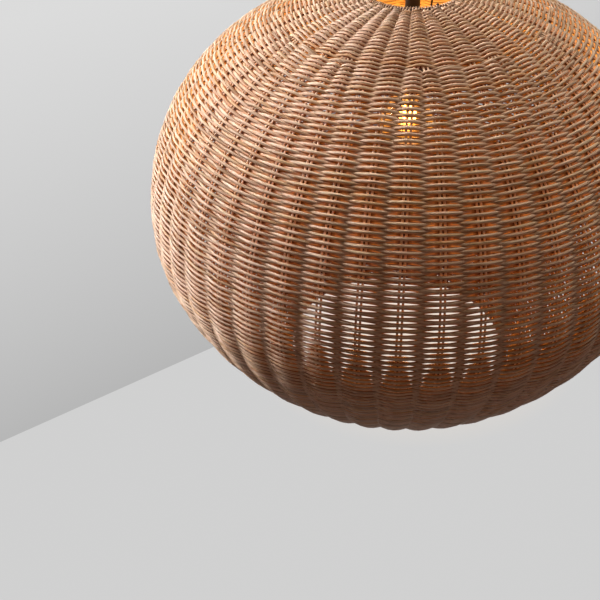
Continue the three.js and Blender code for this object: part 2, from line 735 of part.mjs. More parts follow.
// Centre contact: a strip on the insert whose tongue springs down to the bulb's tip.
function centreContact() {
  const top = LEVELS.insertFoot - GAP;
  const half = CONTACT_LENGTH / 2;
  const outline = new THREE.Shape();
  [
    [-half, top], [-half, top - CONTACT_THICKNESS],
    [-half / 2, top - CONTACT_THICKNESS],
    [-TIP_RADIUS / 2, LEVELS.tongue], [TIP_RADIUS / 2, LEVELS.tongue],
    [half / 2, top - CONTACT_THICKNESS],
    [half, top - CONTACT_THICKNESS], [half, top],
    [half / 2, top],
    [TIP_RADIUS / 2, LEVELS.tongue + CONTACT_THICKNESS],
    [-TIP_RADIUS / 2, LEVELS.tongue + CONTACT_THICKNESS],
    [-half / 2, top],
  ].forEach(([x, z], i) => (i === 0 ? outline.moveTo(x, z) : outline.lineTo(x, z)));
  outline.closePath();
  return new THREE.ExtrudeGeometry(outline, { depth: CONTACT_WIDTH, bevelEnabled: false })
    .translate(0, 0, -CONTACT_WIDTH / 2).rotateX(Math.PI / 2);
}

// A threaded ring with finger grips round its edge.
function gripRing(top, height) {
  const blank = tube(RING_RADIUS, HOLDER_RADIUS + GAP, top - height, top, GRIP_COUNT * 2);
  const grips = Array.from({ length: GRIP_COUNT }, (_, i) => {
    const angle = (i / GRIP_COUNT) * 2 * Math.PI;
    return new THREE.CylinderGeometry(GRIP_DEPTH, GRIP_DEPTH, height + 2, 4)
      .rotateX(Math.PI / 2)
      .translate(RING_RADIUS, 0, top - height / 2)
      .rotateZ(angle);
  });
  return cut(blank, ...grips);
}

const upperRing = () => tube(
  RING_RADIUS, HOLDER_RADIUS + GAP, LEVELS.upperRing - UPPER_RING_HEIGHT, LEVELS.upperRing, FINE,
);

const lowerRing = () => gripRing(LEVELS.lowerRing, LOWER_RING_HEIGHT);

// --------------------------------------------------------------------------------- bulb

function bulbTip() {
  const top = LEVELS.tip;
  return revolve([
    [0, top], [TIP_RADIUS - TIP_BEVEL, top],
    [TIP_RADIUS, top - TIP_HEIGHT], [0, top - TIP_HEIGHT],
  ]);
}

const BULB_CAP_END = BULB_CAP_RADIUS - BULB_CAP_CONE_INSET;

function bulbInsulator() {
  const top = LEVELS.tip - TIP_HEIGHT - GAP;
  return revolve([
    [0, top], [TIP_RADIUS + TIP_BEVEL, top],
    [BULB_CAP_END, top - INSULATOR_HEIGHT], [0, top - INSULATOR_HEIGHT],
  ]);
}

function bulbCap() {
  const [top, wall] = [LEVELS.bulbCapTop, BULB_CAP_WALL];
  const [low, cone] = [top - BULB_CAP_LENGTH, top - BULB_CAP_CONE_HEIGHT];
  return revolve([
    [0, top], [BULB_CAP_END, top], [BULB_CAP_RADIUS, cone], [BULB_CAP_RADIUS, low],
    [BULB_CAP_RADIUS - wall, low], [BULB_CAP_RADIUS - wall, cone - wall],
    [BULB_CAP_END - wall, top - wall], [0, top - wall],
  ], FINE);
}

// Pear shape: a neck that opens smoothly into a ball.
function bulbGlass() {
  const neck = BULB_CAP_RADIUS - BULB_CAP_WALL - GAP;
  const top = LEVELS.glassTop - GAP;
  const ball = top - BULB_GLASS_LENGTH + BULB_RADIUS;
  const meets = THREE.MathUtils.degToRad(38);  // where the neck's curve meets the ball
  const joinPoint = new THREE.Vector2(
    BULB_RADIUS * Math.cos(meets), ball + BULB_RADIUS * Math.sin(meets),
  );
  const lean = new THREE.Vector2(-Math.sin(meets), Math.cos(meets));
  const reach = (joinPoint.x - neck) / -lean.x;
  const flank = new THREE.QuadraticBezierCurve(
    joinPoint, joinPoint.clone().addScaledVector(lean, reach), new THREE.Vector2(neck, top),
  );
  const steps = 4;
  const wallProfile = (inset) => {
    const arc = Array.from({ length: steps + 1 }, (_, i) => {
      const angle = THREE.MathUtils.lerp(-Math.PI / 2, meets, i / steps);
      const radius = BULB_RADIUS - inset;
      return [radius * Math.cos(angle), ball + radius * Math.sin(angle)];
    });
    arc[0][0] = 0;
    const side = flank.getPoints(3).slice(1).map((p) => [p.x - inset, p.y]);
    return [...arc, ...side, [neck - inset, top + BULB_NECK_ENTRY]];
  };
  return revolve([...wallProfile(0), ...wallProfile(GLASS_WALL).reverse()], FINE);
}

const FLARE_LEVEL = LEVELS.glassTop - GAP;
const FILAMENT_TOP = FLARE_LEVEL - FLARE_HEIGHT - GAP;
const FILAMENT_FOOT = FILAMENT_TOP - FILAMENT_LENGTH;

// Inner glass: a foot in the neck, a flare, a stalk and a button that hold the filaments.
function filamentStem() {
  const foot = BULB_CAP_RADIUS - BULB_CAP_WALL - GAP - GLASS_WALL - GAP;
  const seat = FILAMENT_SPREAD + FILAMENT_SEAT;
  return revolve([
    [0, LEVELS.glassTop + BULB_NECK_ENTRY],
    [foot, LEVELS.glassTop + BULB_NECK_ENTRY],
    [foot, LEVELS.glassTop + BULB_NECK_ENTRY - STEM_FOOT_HEIGHT],
    [seat, FLARE_LEVEL],
    [seat, FLARE_LEVEL - FLARE_HEIGHT],
    [STALK_RADIUS, FLARE_LEVEL - FLARE_HEIGHT],
    [STALK_RADIUS, FILAMENT_FOOT - GAP],
    [seat, FILAMENT_FOOT - GAP],
    [seat, FILAMENT_FOOT - GAP - BUTTON_HEIGHT],
    [0, FILAMENT_FOOT - GAP - BUTTON_HEIGHT],
  ]);
}

function filament(number) {
  const angle = ((number + 0.5) / FILAMENT_COUNT) * 2 * Math.PI;
  return rod(FILAMENT_RADIUS, FILAMENT_FOOT, FILAMENT_TOP, ROUGH)
    .translate(FILAMENT_SPREAD * Math.cos(angle), FILAMENT_SPREAD * Math.sin(angle), 0);
}

// ----------------------------------------------------------------------------- assembly

function group(...pieces) {
  const holder = new THREE.Group();
  for (const [name, geometry, material] of pieces) {
    const mesh = new THREE.Mesh(closed(geometry), material);
    mesh.name = name;
    holder.add(mesh);
  }
  return holder;
}

const numbered = (count, name, make, material) =>
  Array.from({ length: count }, (_, i) =>
    [`${name}_${String(i + 1).padStart(2, '0')}`, make(i), material]);

const ceilingFitting = group(
  ['ceiling_bracket', ceilingBracket(), STEEL],
  ['canopy_cup', canopyCup(), BLACK_METAL],
  ['canopy_screw_left', canopyScrew(-1), STEEL],
  ['canopy_screw_right', canopyScrew(1), STEEL],
  ['nipple', nipple(), STEEL],
  ['nipple_nut', nippleNut(), STEEL],
  ['yoke_nut', yokeNut(), STEEL],
  ['terminal_block', terminalBlock(), WHITE_PLASTIC],
);

const swivel = group(
  ['swivel_yoke', swivelYoke(), BLACK_METAL],
  ['pivot_screw', pivotScrew(), STEEL],
  ['pivot_nut', pivotNut(), STEEL],
);

const stem = group(
  ['stem_knuckle', stemKnuckle(), BLACK_METAL],
  ['stem_tube', stemTube(), BLACK_METAL],
  ['stem_collar', stemCollar(), BLACK_PLASTIC],
  ['holder_cap', holderCap(), BLACK_PLASTIC],
  ['holder_body', holderBody(), BLACK_PLASTIC],
  ['ceramic_insert', ceramicInsert(), CERAMIC],
  ['thread_shell', threadShell(), BRASS],
  ['centre_contact', centreContact(), BRASS],
  ['upper_ring', upperRing(), BLACK_PLASTIC],
  ['lower_ring', lowerRing(), BLACK_PLASTIC],
);

const shade = group(
  ['carrier_ring', carrierRing(), STEEL],
  ...numbered(LEG_COUNT, 'carrier_leg', carrierLeg, STEEL),
  ['upper_hoop', upperHoop(), STEEL],
  ...numbered(PANEL_COUNT, 'stake_panel', stakePanel, RATTAN_DARK),
  ['rim_rod', rimRod(), RATTAN_DARK],
  ['crown_outer', crownSkin(1), RATTAN],
  ['crown_inner', crownSkin(-1), RATTAN],
  ...numbered((BAY_COUNT - 1) * COURSES_PER_BAY, 'course', course, RATTAN),
);

const bulb = group(
  ['bulb_cap', bulbCap(), STEEL],
  ['bulb_insulator', bulbInsulator(), BLACK_PLASTIC],
  ['bulb_tip', bulbTip(), STEEL],
  ['bulb_glass', bulbGlass(), CLEAR_GLASS],
  ['filament_stem', filamentStem(), CLEAR_GLASS],
  ...numbered(FILAMENT_COUNT, 'filament', filament, GLOWING),
);

const pendantLight = new THREE.Group();
pendantLight.add(ceilingFitting, swivel, stem, shade, bulb);

export default pendantLight;
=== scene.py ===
import math
from functools import partialmethod

import bmesh
import bpy
from mathutils import Matrix, Vector


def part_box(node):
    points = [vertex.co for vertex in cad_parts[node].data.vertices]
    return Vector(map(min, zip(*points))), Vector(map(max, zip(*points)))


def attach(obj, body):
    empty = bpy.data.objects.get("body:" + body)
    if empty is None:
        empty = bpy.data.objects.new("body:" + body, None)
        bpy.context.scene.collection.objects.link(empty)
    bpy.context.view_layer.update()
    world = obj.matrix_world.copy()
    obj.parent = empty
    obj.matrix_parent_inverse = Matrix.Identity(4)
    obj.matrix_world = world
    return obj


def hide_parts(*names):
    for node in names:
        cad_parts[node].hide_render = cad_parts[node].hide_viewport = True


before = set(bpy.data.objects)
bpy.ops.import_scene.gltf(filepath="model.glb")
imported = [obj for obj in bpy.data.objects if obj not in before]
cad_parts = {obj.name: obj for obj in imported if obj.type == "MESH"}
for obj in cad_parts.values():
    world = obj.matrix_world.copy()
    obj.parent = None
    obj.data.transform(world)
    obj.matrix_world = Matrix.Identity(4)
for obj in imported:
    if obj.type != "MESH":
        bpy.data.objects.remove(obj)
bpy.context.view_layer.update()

# A woven rattan globe on a rigid stem, hung from a ceiling canopy. Metres, +Z up: the
# ceiling is z = 0 and the light hangs below it.

# ---------------------------------------------------------------------- sizes and levels

MM = 0.001

# woven wall: two superellipse halves that meet at the widest round
GLOBE_RADIUS = 300 * MM
CROWN_HEIGHT, CROWN_POWER = 259 * MM, 2.16
BOWL_HEIGHT, BOWL_POWER = 277 * MM, 1.73
TOP_OPENING_RADIUS = 51 * MM
LOWER_OPENING_RADIUS = 144 * MM
WALL_HALF = 4.1 * MM                # from the wall's outer face to its middle line

# stakes: pairs of rods, and weavers that pass in and out of the pairs. Below the crown a new
# pair is set in beside every third one, so that three columns of weaving become four.
STAKE_PAIRS = 48
CROWN_PAIRS = 36
STAKE_TURN = math.radians(0.6)
STAKE_RADIUS = 1.15 * MM
PAIR_SPREAD = 2.0 * MM              # from the middle of a pair to each of its rods
CROWN_PITCH = 2.48 * MM             # from one round of weaving to the next
BODY_PITCH = 3.1 * MM
CROWN_ROUNDS = 46                   # rounds laid at the tighter pitch
JOIN_ROUND = 36                     # first round that passes the added pairs
JOIN = JOIN_ROUND * CROWN_PITCH     # how far down the wall the added pairs begin
LIP = 3 * MM                        # bare stake ends above the first round
WAVE = 2.8 * MM                     # how far a weaver swings out of the wall's middle
SAMPLES_PER_PAIR = 5                # points of a weaver from one pair to the next
CROWN_SAMPLES = 6
RIM_ROOM = 6 * MM                   # end of the wall that the wrapped rim takes up
RIM_DEPTH = 7 * MM                  # of the rim rod's section, across the wall
STAKE_OUT = 0.8 * MM                # from the wall's middle line out to the rods
STAKE_UNEVEN = 2.5 * MM             # how far the cut ends of the rods differ
DRIFT, JITTER = 0.9 * MM, 0.28 * MM  # slow and quick straying of a round along the wall
CROWDING, CROWDED_FOR = 0.25, 60 * MM      # of an added pair's neighbours, below the join
PARTING, PARTED_FOR = 1.7 * MM, 8 * MM     # of the rounds next to an added pair's end
CLOSE_PAIRS, WIDE_PAIRS = 5 * MM, 13 * MM  # spacing at which a weaver swings half, and fully
CROWN_STRAND = (1.45 * MM, 1.6 * MM)       # radius where rounds cross, and over the stakes
BODY_STRAND = (1.75 * MM, 1.78 * MM)
TIGHTENING = 14                     # rounds over which the crown's strands become the body's
STRAND_SIDES = 6
HOOP_RADIUS = 1.5 * MM
HOOP_TURNS, HOOP_STRAND = 104, 0.75 * MM   # lashing round the upper hoop
HOOP_SLACK = 0.65 * MM
RIM_TURNS, RIM_STRAND = 420, 0.8 * MM      # lashing round the lower rim

# ceiling fitting and swivel
CANOPY_WALL, CANOPY_ROUND = 1.2 * MM, 9 * MM
SCREW_RADIUS = 2 * MM
NIPPLE_RADIUS, NIPPLE_BORE = 5 * MM, 3.2 * MM
NIPPLE_THREAD, NIPPLE_PITCH = 0.4 * MM, 1.0 * MM
PIN_RADIUS, PIN_HEAD = 2.5 * MM, 2.6 * MM  # the head's depth
STEM_WALL = 1.5 * MM
CLEARANCE = 0.3 * MM

# lamp holder
HOLDER_WALL, CAP_WALL = 2.6 * MM, 2 * MM
CAP_SHOULDER = 13 * MM
CAP_CONE, CAP_ROOF = 7 * MM, 3 * MM  # height of the cap's cone, and depth of its roof
LEDGE = 1.8 * MM                    # under the ceramic insert
SKIRT_THREAD = 0.55 * MM
THREAD_STEP = 0.3 * MM              # between the points of a threaded outline
HOLDER_PITCH = 2.5 * MM             # of the coarse thread outside the holder's skirt
SHELL_WALL = 0.4 * MM
LAMP_PITCH = 3.63 * MM              # of the rolled thread of a large bulb cap
THREAD_DEPTH = 1.0 * MM
GRIPS, GRIP_DEPTH = 12, 1.2 * MM
KNURLS, KNURL_DEPTH = 60, 0.5 * MM

# bulb
GLASS_WALL = 0.8 * MM
BULB_NECK = 12.3 * MM
BULB_CAP_WALL, CAP_END = 0.5 * MM, 3 * MM  # CAP_END is the plain end above the thread
NECK_ENTRY = 9 * MM
NECK_MEETS = math.radians(38)       # where the neck's curve meets the ball


def node_top(node):
    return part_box(node)[1].z


def node_foot(node):
    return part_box(node)[0].z


def node_level(node):
    return (node_top(node) + node_foot(node)) / 2


def node_radius(node):
    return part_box(node)[1].x


def nodes_named(start):
    return sorted(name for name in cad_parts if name.startswith(start))


SHADE, FITTING = "hanging_shade", "ceiling_fitting"


# -------------------------------------------------------------------------- wall profile


def wall_reach(opening, power):
    return math.acos((opening / GLOBE_RADIUS) ** (power / 2))


TOP_REACH = wall_reach(TOP_OPENING_RADIUS, CROWN_POWER)
FOOT_REACH = -wall_reach(LOWER_OPENING_RADIUS, BOWL_POWER)


def outer_face(angle):
    """(radius, height above the widest round) of the wall's outer face."""
    height, power = (CROWN_HEIGHT, CROWN_POWER) if angle > 0 else (BOWL_HEIGHT, BOWL_POWER)
    rise = height * abs(math.sin(angle)) ** (2 / power)
    return Vector((GLOBE_RADIUS * math.cos(angle) ** (2 / power), math.copysign(rise, angle)))


def wall_middle(share, inset=WALL_HALF):
    """A point of the wall's middle line, from the upper opening, 0, to the lower one, 1."""
    angle = TOP_REACH + (FOOT_REACH - TOP_REACH) * share
    step = 1e-4
    along = (outer_face(angle - step) - outer_face(angle + step)).normalized()
    return outer_face(angle) + inset * Vector((along.y, -along.x))


WALL_STEPS = 240
HOOP_LEVEL = node_level("upper_hoop")
WIDEST_LEVEL = HOOP_LEVEL - wall_middle(0).y


def wall_line():
    """The wall's middle line as a chain of edges in the XZ plane."""
    points = [wall_middle(i / WALL_STEPS) for i in range(WALL_STEPS + 1)]
    mesh = bpy.data.meshes.new("wall line")
    mesh.from_pydata(
        [(p.x, 0, p.y + WIDEST_LEVEL) for p in points],
        [(i, i + 1) for i in range(WALL_STEPS)], [],
    )
    return mesh


WALL = wall_line()
WALL_LENGTH = sum(
    (WALL.vertices[i + 1].co - WALL.vertices[i].co).length for i in range(WALL_STEPS)
)
BODY_ROUNDS = int((WALL_LENGTH - RIM_ROOM - LIP - CROWN_ROUNDS * CROWN_PITCH) / BODY_PITCH)
ROUNDS = CROWN_ROUNDS + BODY_ROUNDS

# -------------------------------------------------------------------------------- camera

# The eye stands off the globe's axis and looks down on its crown, turned a little aside.
EYE_DISTANCE = 0.8928
EYE_RISE = 0.5694                   # above the widest round
EYE_TURN = math.radians(-8.31)
EYE_PITCH = math.radians(-39.08)
EYE_ROLL = math.radians(-2.35)
LENS = 51.8                         # focal length, in millimetres
EYE = Vector((0, -EYE_DISTANCE, WIDEST_LEVEL + EYE_RISE))


def place_camera():
    data = bpy.data.cameras.new("camera")
    data.lens = LENS
    data.clip_start = 0.05
    camera = bpy.data.objects.new("camera", data)
    upright = Matrix.Rotation(math.radians(90), 4, "X")
    turn = Matrix.Rotation(-EYE_TURN, 4, "Z") @ Matrix.Rotation(EYE_PITCH, 4, "X")
    camera.matrix_world = (
        Matrix.Translation(EYE) @ turn @ upright @ Matrix.Rotation(EYE_ROLL, 4, "Z")
    )
    bpy.context.scene.collection.objects.link(camera)
    bpy.context.scene.camera = camera


# ------------------------------------------------------------------------- node building


class Nodes:
    """Adds nodes to a tree. An input is a value, or a socket that feeds it."""

    def __init__(self, tree):
        self.tree = tree

    def feed(self, socket, value):
        if isinstance(value, bpy.types.NodeSocket):
            self.tree.links.new(value, socket)
        else:
            socket.default_value = value

    def add(self, kind, inputs=None, **settings):
        node = self.tree.nodes.new(kind)
        for name, value in settings.items():
            setattr(node, name, value)
        for key, value in (inputs or {}).items():
            self.feed(node.inputs[key], value)
        return node

    def math(self, operation, *values):
        inputs = dict(enumerate(values))
        return self.add("ShaderNodeMath", inputs, operation=operation).outputs[0]

    plus, minus = partialmethod(math, "ADD"), partialmethod(math, "SUBTRACT")
    times, over = partialmethod(math, "MULTIPLY"), partialmethod(math, "DIVIDE")
    times_plus = partialmethod(math, "MULTIPLY_ADD")

    def vector(self, operation, *values, output="Vector"):
        inputs = dict(enumerate(values))
        node = self.add("ShaderNodeVectorMath", inputs, operation=operation)
        return node.outputs[output]

    def join(self, x=0.0, y=0.0, z=0.0):
        return self.add("ShaderNodeCombineXYZ", {"X": x, "Y": y, "Z": z}).outputs[0]

    def split(self, vector):
        return self.add("ShaderNodeSeparateXYZ", {"Vector": vector}).outputs

    def noise(self, vector, scale, detail=2.0, roughness=0.5):
        return self.add("ShaderNodeTexNoise", {
            "Vector": vector, "Scale": scale, "Detail": detail, "Roughness": roughness,
        }).outputs["Fac"]

    def range(self, value, low, high, to_low=0.0, to_high=1.0):
        return self.add("ShaderNodeMapRange", {
            "Value": value, "From Min": low, "From Max": high,
            "To Min": to_low, "To Max": to_high,
        }).outputs["Result"]


def sockets(tree, inputs=(), outputs=()):
    """Declares a tree's named inputs (with their defaults) and outputs."""
    for name, kind, default in inputs:
        socket = tree.interface.new_socket(name, in_out="INPUT", socket_type="NodeSocket" + kind)
        if default is not None:
            socket.default_value = default
    for name, kind in outputs:
        tree.interface.new_socket(name, in_out="OUTPUT", socket_type="NodeSocket" + kind)


def new_tree(name, kind, inputs, outputs):
    """A tree with named inputs and outputs: itself, its nodes, and its two ends."""
    tree = bpy.data.node_groups.new(name, kind)
    sockets(tree, inputs, outputs)
    nodes = Nodes(tree)
    given = nodes.add("NodeGroupInput").outputs
    return tree, nodes, given, nodes.add("NodeGroupOutput").inputs


# ------------------------------------------------------------------------------ colours


def srgb(red, green, blue):
    """A colour of 0 to 255 steps, in the linear values that shaders take."""
    def linear(step):
        share = step / 255
        return share / 12.92 if share <= 0.04045 else ((share + 0.055) / 1.055) ** 2.4
    return linear(red), linear(green), linear(blue), 1.0


def mix_colours(nodes, share, low, high, blend="MIX"):
    node = nodes.add("ShaderNodeMix", {0: share, 6: low, 7: high},
                     data_type="RGBA", blend_type=blend)
    return node.outputs[2]


def tinted(nodes, colour, tint, share=1.0):
    return mix_colours(nodes, share, colour, tint, "MULTIPLY")


def seen_rays(nodes):
    """One for rays by which the room itself is seen, straight or in gloss and glass."""
    ray = nodes.add("ShaderNodeLightPath").outputs
    indirect = nodes.math("MAXIMUM", ray["Is Glossy Ray"], ray["Is Transmission Ray"])
    return nodes.math("MAXIMUM", ray["Is Camera Ray"], indirect)


def ramp(nodes, value, stops):
    node = nodes.add("ShaderNodeValToRGB", {"Fac": value})
    elements = node.color_ramp.elements
    while len(elements) < len(stops):
        elements.new(1.0)
    for element, (place, colour) in zip(elements, stops):
        element.position = place
        element.color = colour
    return node.outputs["Color"]


def fibre_group():
    """Colour, roughness and height of a strand of rattan, whose grain runs along it."""
    tree, nodes, given, put = new_tree("rattan fibre", "ShaderNodeTree", [
        ("Strand", "Float", 0.5), ("Along", "Float", 0.0), ("Fibre", "Vector", None),
        ("Pale", "Color", srgb(246, 222, 200)), ("Tan", "Color", srgb(228, 186, 158)),
        ("Amber", "Color", srgb(212, 146, 84)), ("Dark", "Color", srgb(126, 92, 66)),
    ], [("Colour", "Color"), ("Roughness", "Float"), ("Height", "Float")])

    strand_place = nodes.times(given["Strand"], 61.7)
    fibre = nodes.split(given["Fibre"])

    def grain(length, across, detail, shift):
        """Noise that is drawn out along the strand."""
        place = nodes.join(
            nodes.over(given["Along"], length),
            nodes.times_plus(fibre[0], across, strand_place),
            nodes.times_plus(fibre[1], across, shift),
        )
        return nodes.noise(place, 1.0, detail)

    patches = grain(0.045, 0.15, 2.0, 0.0)
    streaks = grain(0.012, 1.9, 3.0, 7.3)
    threads = grain(0.006, 5.0, 2.0, 19.1)

    hue = ramp(nodes, given["Strand"], [
        (0.0, srgb(146, 114, 84)), (0.16, srgb(186, 152, 122)),
        (0.42, srgb(228, 190, 164)), (0.68, srgb(242, 214, 190)),
        (0.86, srgb(226, 196, 158)), (1.0, srgb(208, 150, 98)),
    ])
    tanned = mix_colours(nodes, nodes.range(patches, 0.42, 0.72), hue, given["Tan"])
    warmed = mix_colours(nodes, nodes.range(patches, 0.5, 0.3, 0.0, 0.6), tanned, given["Amber"])
    lit = mix_colours(nodes, nodes.range(streaks, 0.5, 0.7, 0.0, 0.75), warmed, given["Pale"])
    shaded = mix_colours(nodes, nodes.range(streaks, 0.47, 0.3, 0.0, 0.8), lit, given["Dark"])
    fine = nodes.range(threads, 0.3, 0.7, 0.82, 1.12)
    evenly = nodes.join(fine, fine, fine)
    nodes.feed(put["Colour"], tinted(nodes, shaded, evenly))
    nodes.feed(put["Roughness"], nodes.range(streaks, 0.3, 0.7, 0.62, 0.42))
    nodes.feed(put["Height"], nodes.plus(streaks, nodes.times(threads, 0.5)))
    return tree


FIBRE = fibre_group()


def glow_group():
    """Painted light: the warm light that the bulb throws on faces turned to it, fading with
    distance, and the little of it that seeps through the rattan everywhere, painted into the
    rattan's colour as glow."""
    tree, nodes, given, put = new_tree("bulb glow", "ShaderNodeTree", [
        ("Centre", "Vector", (0, 0, 0)), ("Reach", "Float", 0.26), ("Fall", "Float", 8.0),
        ("Seep", "Float", 0.012), ("Warmth", "Color", (1, 1, 1, 1)), ("Skin", "Color", (1, 1, 1, 1)),
    ], [("Colour", "Color")])
    place = nodes.add("ShaderNodeTexCoord").outputs
    away = nodes.vector("SUBTRACT", given["Centre"], place["Object"])
    distance = nodes.vector("LENGTH", away, output="Value")
    towards = nodes.vector("NORMALIZE", away)
    facing = nodes.vector("DOT_PRODUCT", towards, place["Normal"], output="Value")
    turned_to = nodes.range(facing, 0.35, 0.7)
    near = nodes.math("POWER", nodes.over(given["Reach"], distance), given["Fall"])
    direct = nodes.times(turned_to, nodes.math("MINIMUM", near, 1.0))
    level = nodes.math("MAXIMUM", direct, given["Seep"])
    warm = tinted(nodes, given["Skin"], given["Warmth"])
    reddening = nodes.join(level, nodes.math("POWER", level, 1.2),
                           nodes.math("POWER", level, 1.5))
    glow = tinted(nodes, warm, reddening)
    nodes.feed(put[0], glow)
    return tree


GLOW = glow_group()
# colour of the painted bulb light on the rattan
GLOW_COLOUR = (1.7, 0.88, 0.17, 1)
BULB_MIDDLE = (node_foot("bulb_glass") + node_foot("bulb_cap")) / 2


def painted_shade_group():
    """Painted shade in the weave: how deep a face lies, on the inner side of a strand or behind a
    pair of stakes, as a share by which its colour is darkened."""
    tree, nodes, given, put = new_tree("painted shade in the weave", "ShaderNodeTree", [
        ("Centre", "Vector", (0, 0, 0)), ("Flattening", "Float", 1.12),
        ("Swing", "Float", 1.0),
    ], [("Depth", "Float")])
    place = nodes.add("ShaderNodeTexCoord").outputs
    from_middle = nodes.vector("SUBTRACT", place["Object"], given["Centre"])
    flat = nodes.join(1.0, 1.0, given["Flattening"])
    outward = nodes.vector("NORMALIZE", nodes.vector("MULTIPLY", from_middle, flat))
    facing = nodes.vector("DOT_PRODUCT", outward, place["Normal"], output="Value")
    open_side = nodes.times_plus(given["Swing"], -0.23, 0.6)
    inner = nodes.range(facing, open_side, nodes.minus(open_side, 0.5), 0.0, 0.93)
    behind = nodes.range(given["Swing"], -0.72, -0.9, 0.0, 0.92)
    depth = nodes.math("MAXIMUM", inner, behind)
    nodes.feed(put[0], depth)
    return tree


PAINTED_SHADE = painted_shade_group()


def lit_by_bulb(nodes, shader, skin):
    """Paints the bulb's light into a material as glow, tinted by its skin colour."""
    glow = nodes.add("ShaderNodeGroup", {}, node_tree=GLOW)
    glow.inputs["Centre"].default_value = (0, 0, BULB_MIDDLE)
    glow.inputs["Warmth"].default_value = GLOW_COLOUR
    nodes.feed(glow.inputs["Skin"], skin)
    nodes.feed(shader.inputs["Emission Color"], glow.outputs[0])
    shader.inputs["Emission Strength"].default_value = 1.0


SLOTS = {}                          # the slot of each plain finish


def new_material(name, slot=None):
    """A material, its nodes and the Principled shader in it."""
    material = bpy.data.materials.new(name)
    SLOTS[name] = slot
    material.use_nodes = True
    nodes = Nodes(material.node_tree)
    return material, nodes, material.node_tree.nodes["Principled BSDF"]


def attribute(nodes, name, output="Fac"):
    return nodes.add("ShaderNodeAttribute", attribute_name=name).outputs[output]


# painted shade colours: a brown for strands that dip inside, a dark brown for faces deep in the
# weave
RECESS_SHADE_TINT, PAINTED_SHADE_TINT = srgb(226, 180, 138), srgb(84, 40, 20)


def rattan(name, shade=1.0, painted_recess_shade=0.5, glowing=True):
    """Round rattan. Shade scales the strand's colour, and above 1 it is painted light; a painted
    shade browns the strand where it dips inside, and darkens faces deep in the weave.
    """
    material, nodes, shader = new_material(name)
    fibre = nodes.add("ShaderNodeGroup", {}, node_tree=FIBRE)
    for socket in ("Strand", "Along"):
        nodes.feed(fibre.inputs[socket], attribute(nodes, socket.lower()))
    nodes.feed(fibre.inputs["Fibre"], attribute(nodes, "fibre", "Vector"))
    swing = attribute(nodes, "swing")
    # painted shade: strands are browned where they swing inside the wall
    recess_shade_share = nodes.range(swing, 0.4, -1.0, 0.0, painted_recess_shade)
    colour = tinted(nodes, fibre.outputs["Colour"], RECESS_SHADE_TINT, recess_shade_share)
    painted_shade = nodes.add("ShaderNodeGroup", {"Swing": swing}, node_tree=PAINTED_SHADE)
    painted_shade.inputs["Centre"].default_value = (0, 0, WIDEST_LEVEL)
    # painted shade: faces on the inner side of a strand and behind the stakes are darkened
    colour = tinted(nodes, colour, PAINTED_SHADE_TINT, painted_shade.outputs[0])
    # painted light: a shade above 1, as the stakes have, lightens the colour to stand for light on
    # rods that the weavers shade
    painted_light_scaled = tinted(nodes, colour, (shade, shade, shade, 1.0))
    nodes.feed(shader.inputs["Base Color"], painted_light_scaled)
    nodes.feed(shader.inputs["Roughness"], fibre.outputs["Roughness"])
    bump = nodes.add("ShaderNodeBump", {
        "Strength": 0.5, "Distance": 0.25 * MM, "Height": fibre.outputs["Height"],
    })
    nodes.feed(shader.inputs["Normal"], bump.outputs["Normal"])
    shader.inputs["Specular IOR Level"].default_value = 0.4
    if glowing:
        lit_by_bulb(nodes, shader, fibre.outputs["Colour"])
    return material


# ------------------------------------------------------------------- pieces of the object


def link(piece):
    bpy.context.scene.collection.objects.link(piece)
    return piece


def seat(piece, body, slot, *nodes):
    """Rides a finished piece on its body, in place of the nodes it stands for, which it hides. The
    slot is not used.
    """
    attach(piece, body)
    if nodes:
        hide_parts(*nodes)
    return piece


def fit(piece, material, body, *nodes):
    """Gives a piece its plain finish and seats it, in place of the nodes it stands for."""
    piece.data.materials.clear()
    piece.data.materials.append(material)
    return seat(piece, body, SLOTS[material.name], *nodes)


def grown(name, tree, base, inputs):
    """The plain mesh that a Geometry Nodes tree makes of a base mesh."""
    source = link(bpy.data.objects.new(name, base))
    modifier = source.modifiers.new(name, "NODES")
    modifier.node_group = tree
    for item in tree.interface.items_tree:
        if item.in_out == "INPUT" and item.name in inputs:
            modifier[item.identifier] = inputs[item.name]
    graph = bpy.context.evaluated_depsgraph_get()
    mesh = bpy.data.meshes.new_from_object(
        source.evaluated_get(graph), preserve_all_data_layers=True, depsgraph=graph)
    source.modifiers.remove(modifier)
    bpy.data.objects.remove(source)
    mesh.name = name
    return link(bpy.data.objects.new(name, mesh))


def keep_value(nodes, geometry, value, kind="FLOAT"):
    """Captures a value on the points of a geometry; returns the geometry and the value."""
    node = nodes.add("GeometryNodeCaptureAttribute")
    node.capture_items.new(kind, "kept")
    nodes.feed(node.inputs[0], geometry)
    nodes.feed(node.inputs[1], value)
    return node.outputs[0], node.outputs[1]


def store(nodes, geometry, name, value, kind="FLOAT"):
    node = nodes.add("GeometryNodeStoreNamedAttribute", data_type=kind, domain="POINT")
    for socket, given in (("Geometry", geometry), ("Name", name), ("Value", value)):
        nodes.feed(node.inputs[socket], given)
    return node.outputs[0]


def random_number(nodes, low, high, number, seed, step=None):
    if step:
        seed = nodes.plus(seed, step)
    node = nodes.add("FunctionNodeRandomValue", {2: low, 3: high, "ID": number, "Seed": seed})
    return node.outputs[1]


def wire_section(nodes):
    """A unit circle whose points carry their direction, to sweep along a strand."""
    circle = nodes.add("GeometryNodeCurvePrimitiveCircle",
                       {"Resolution": STRAND_SIDES, "Radius": 1.0})
    position = nodes.add("GeometryNodeInputPosition").outputs[0]
    return store(nodes, circle.outputs[0], "fibre", position, "FLOAT_VECTOR")


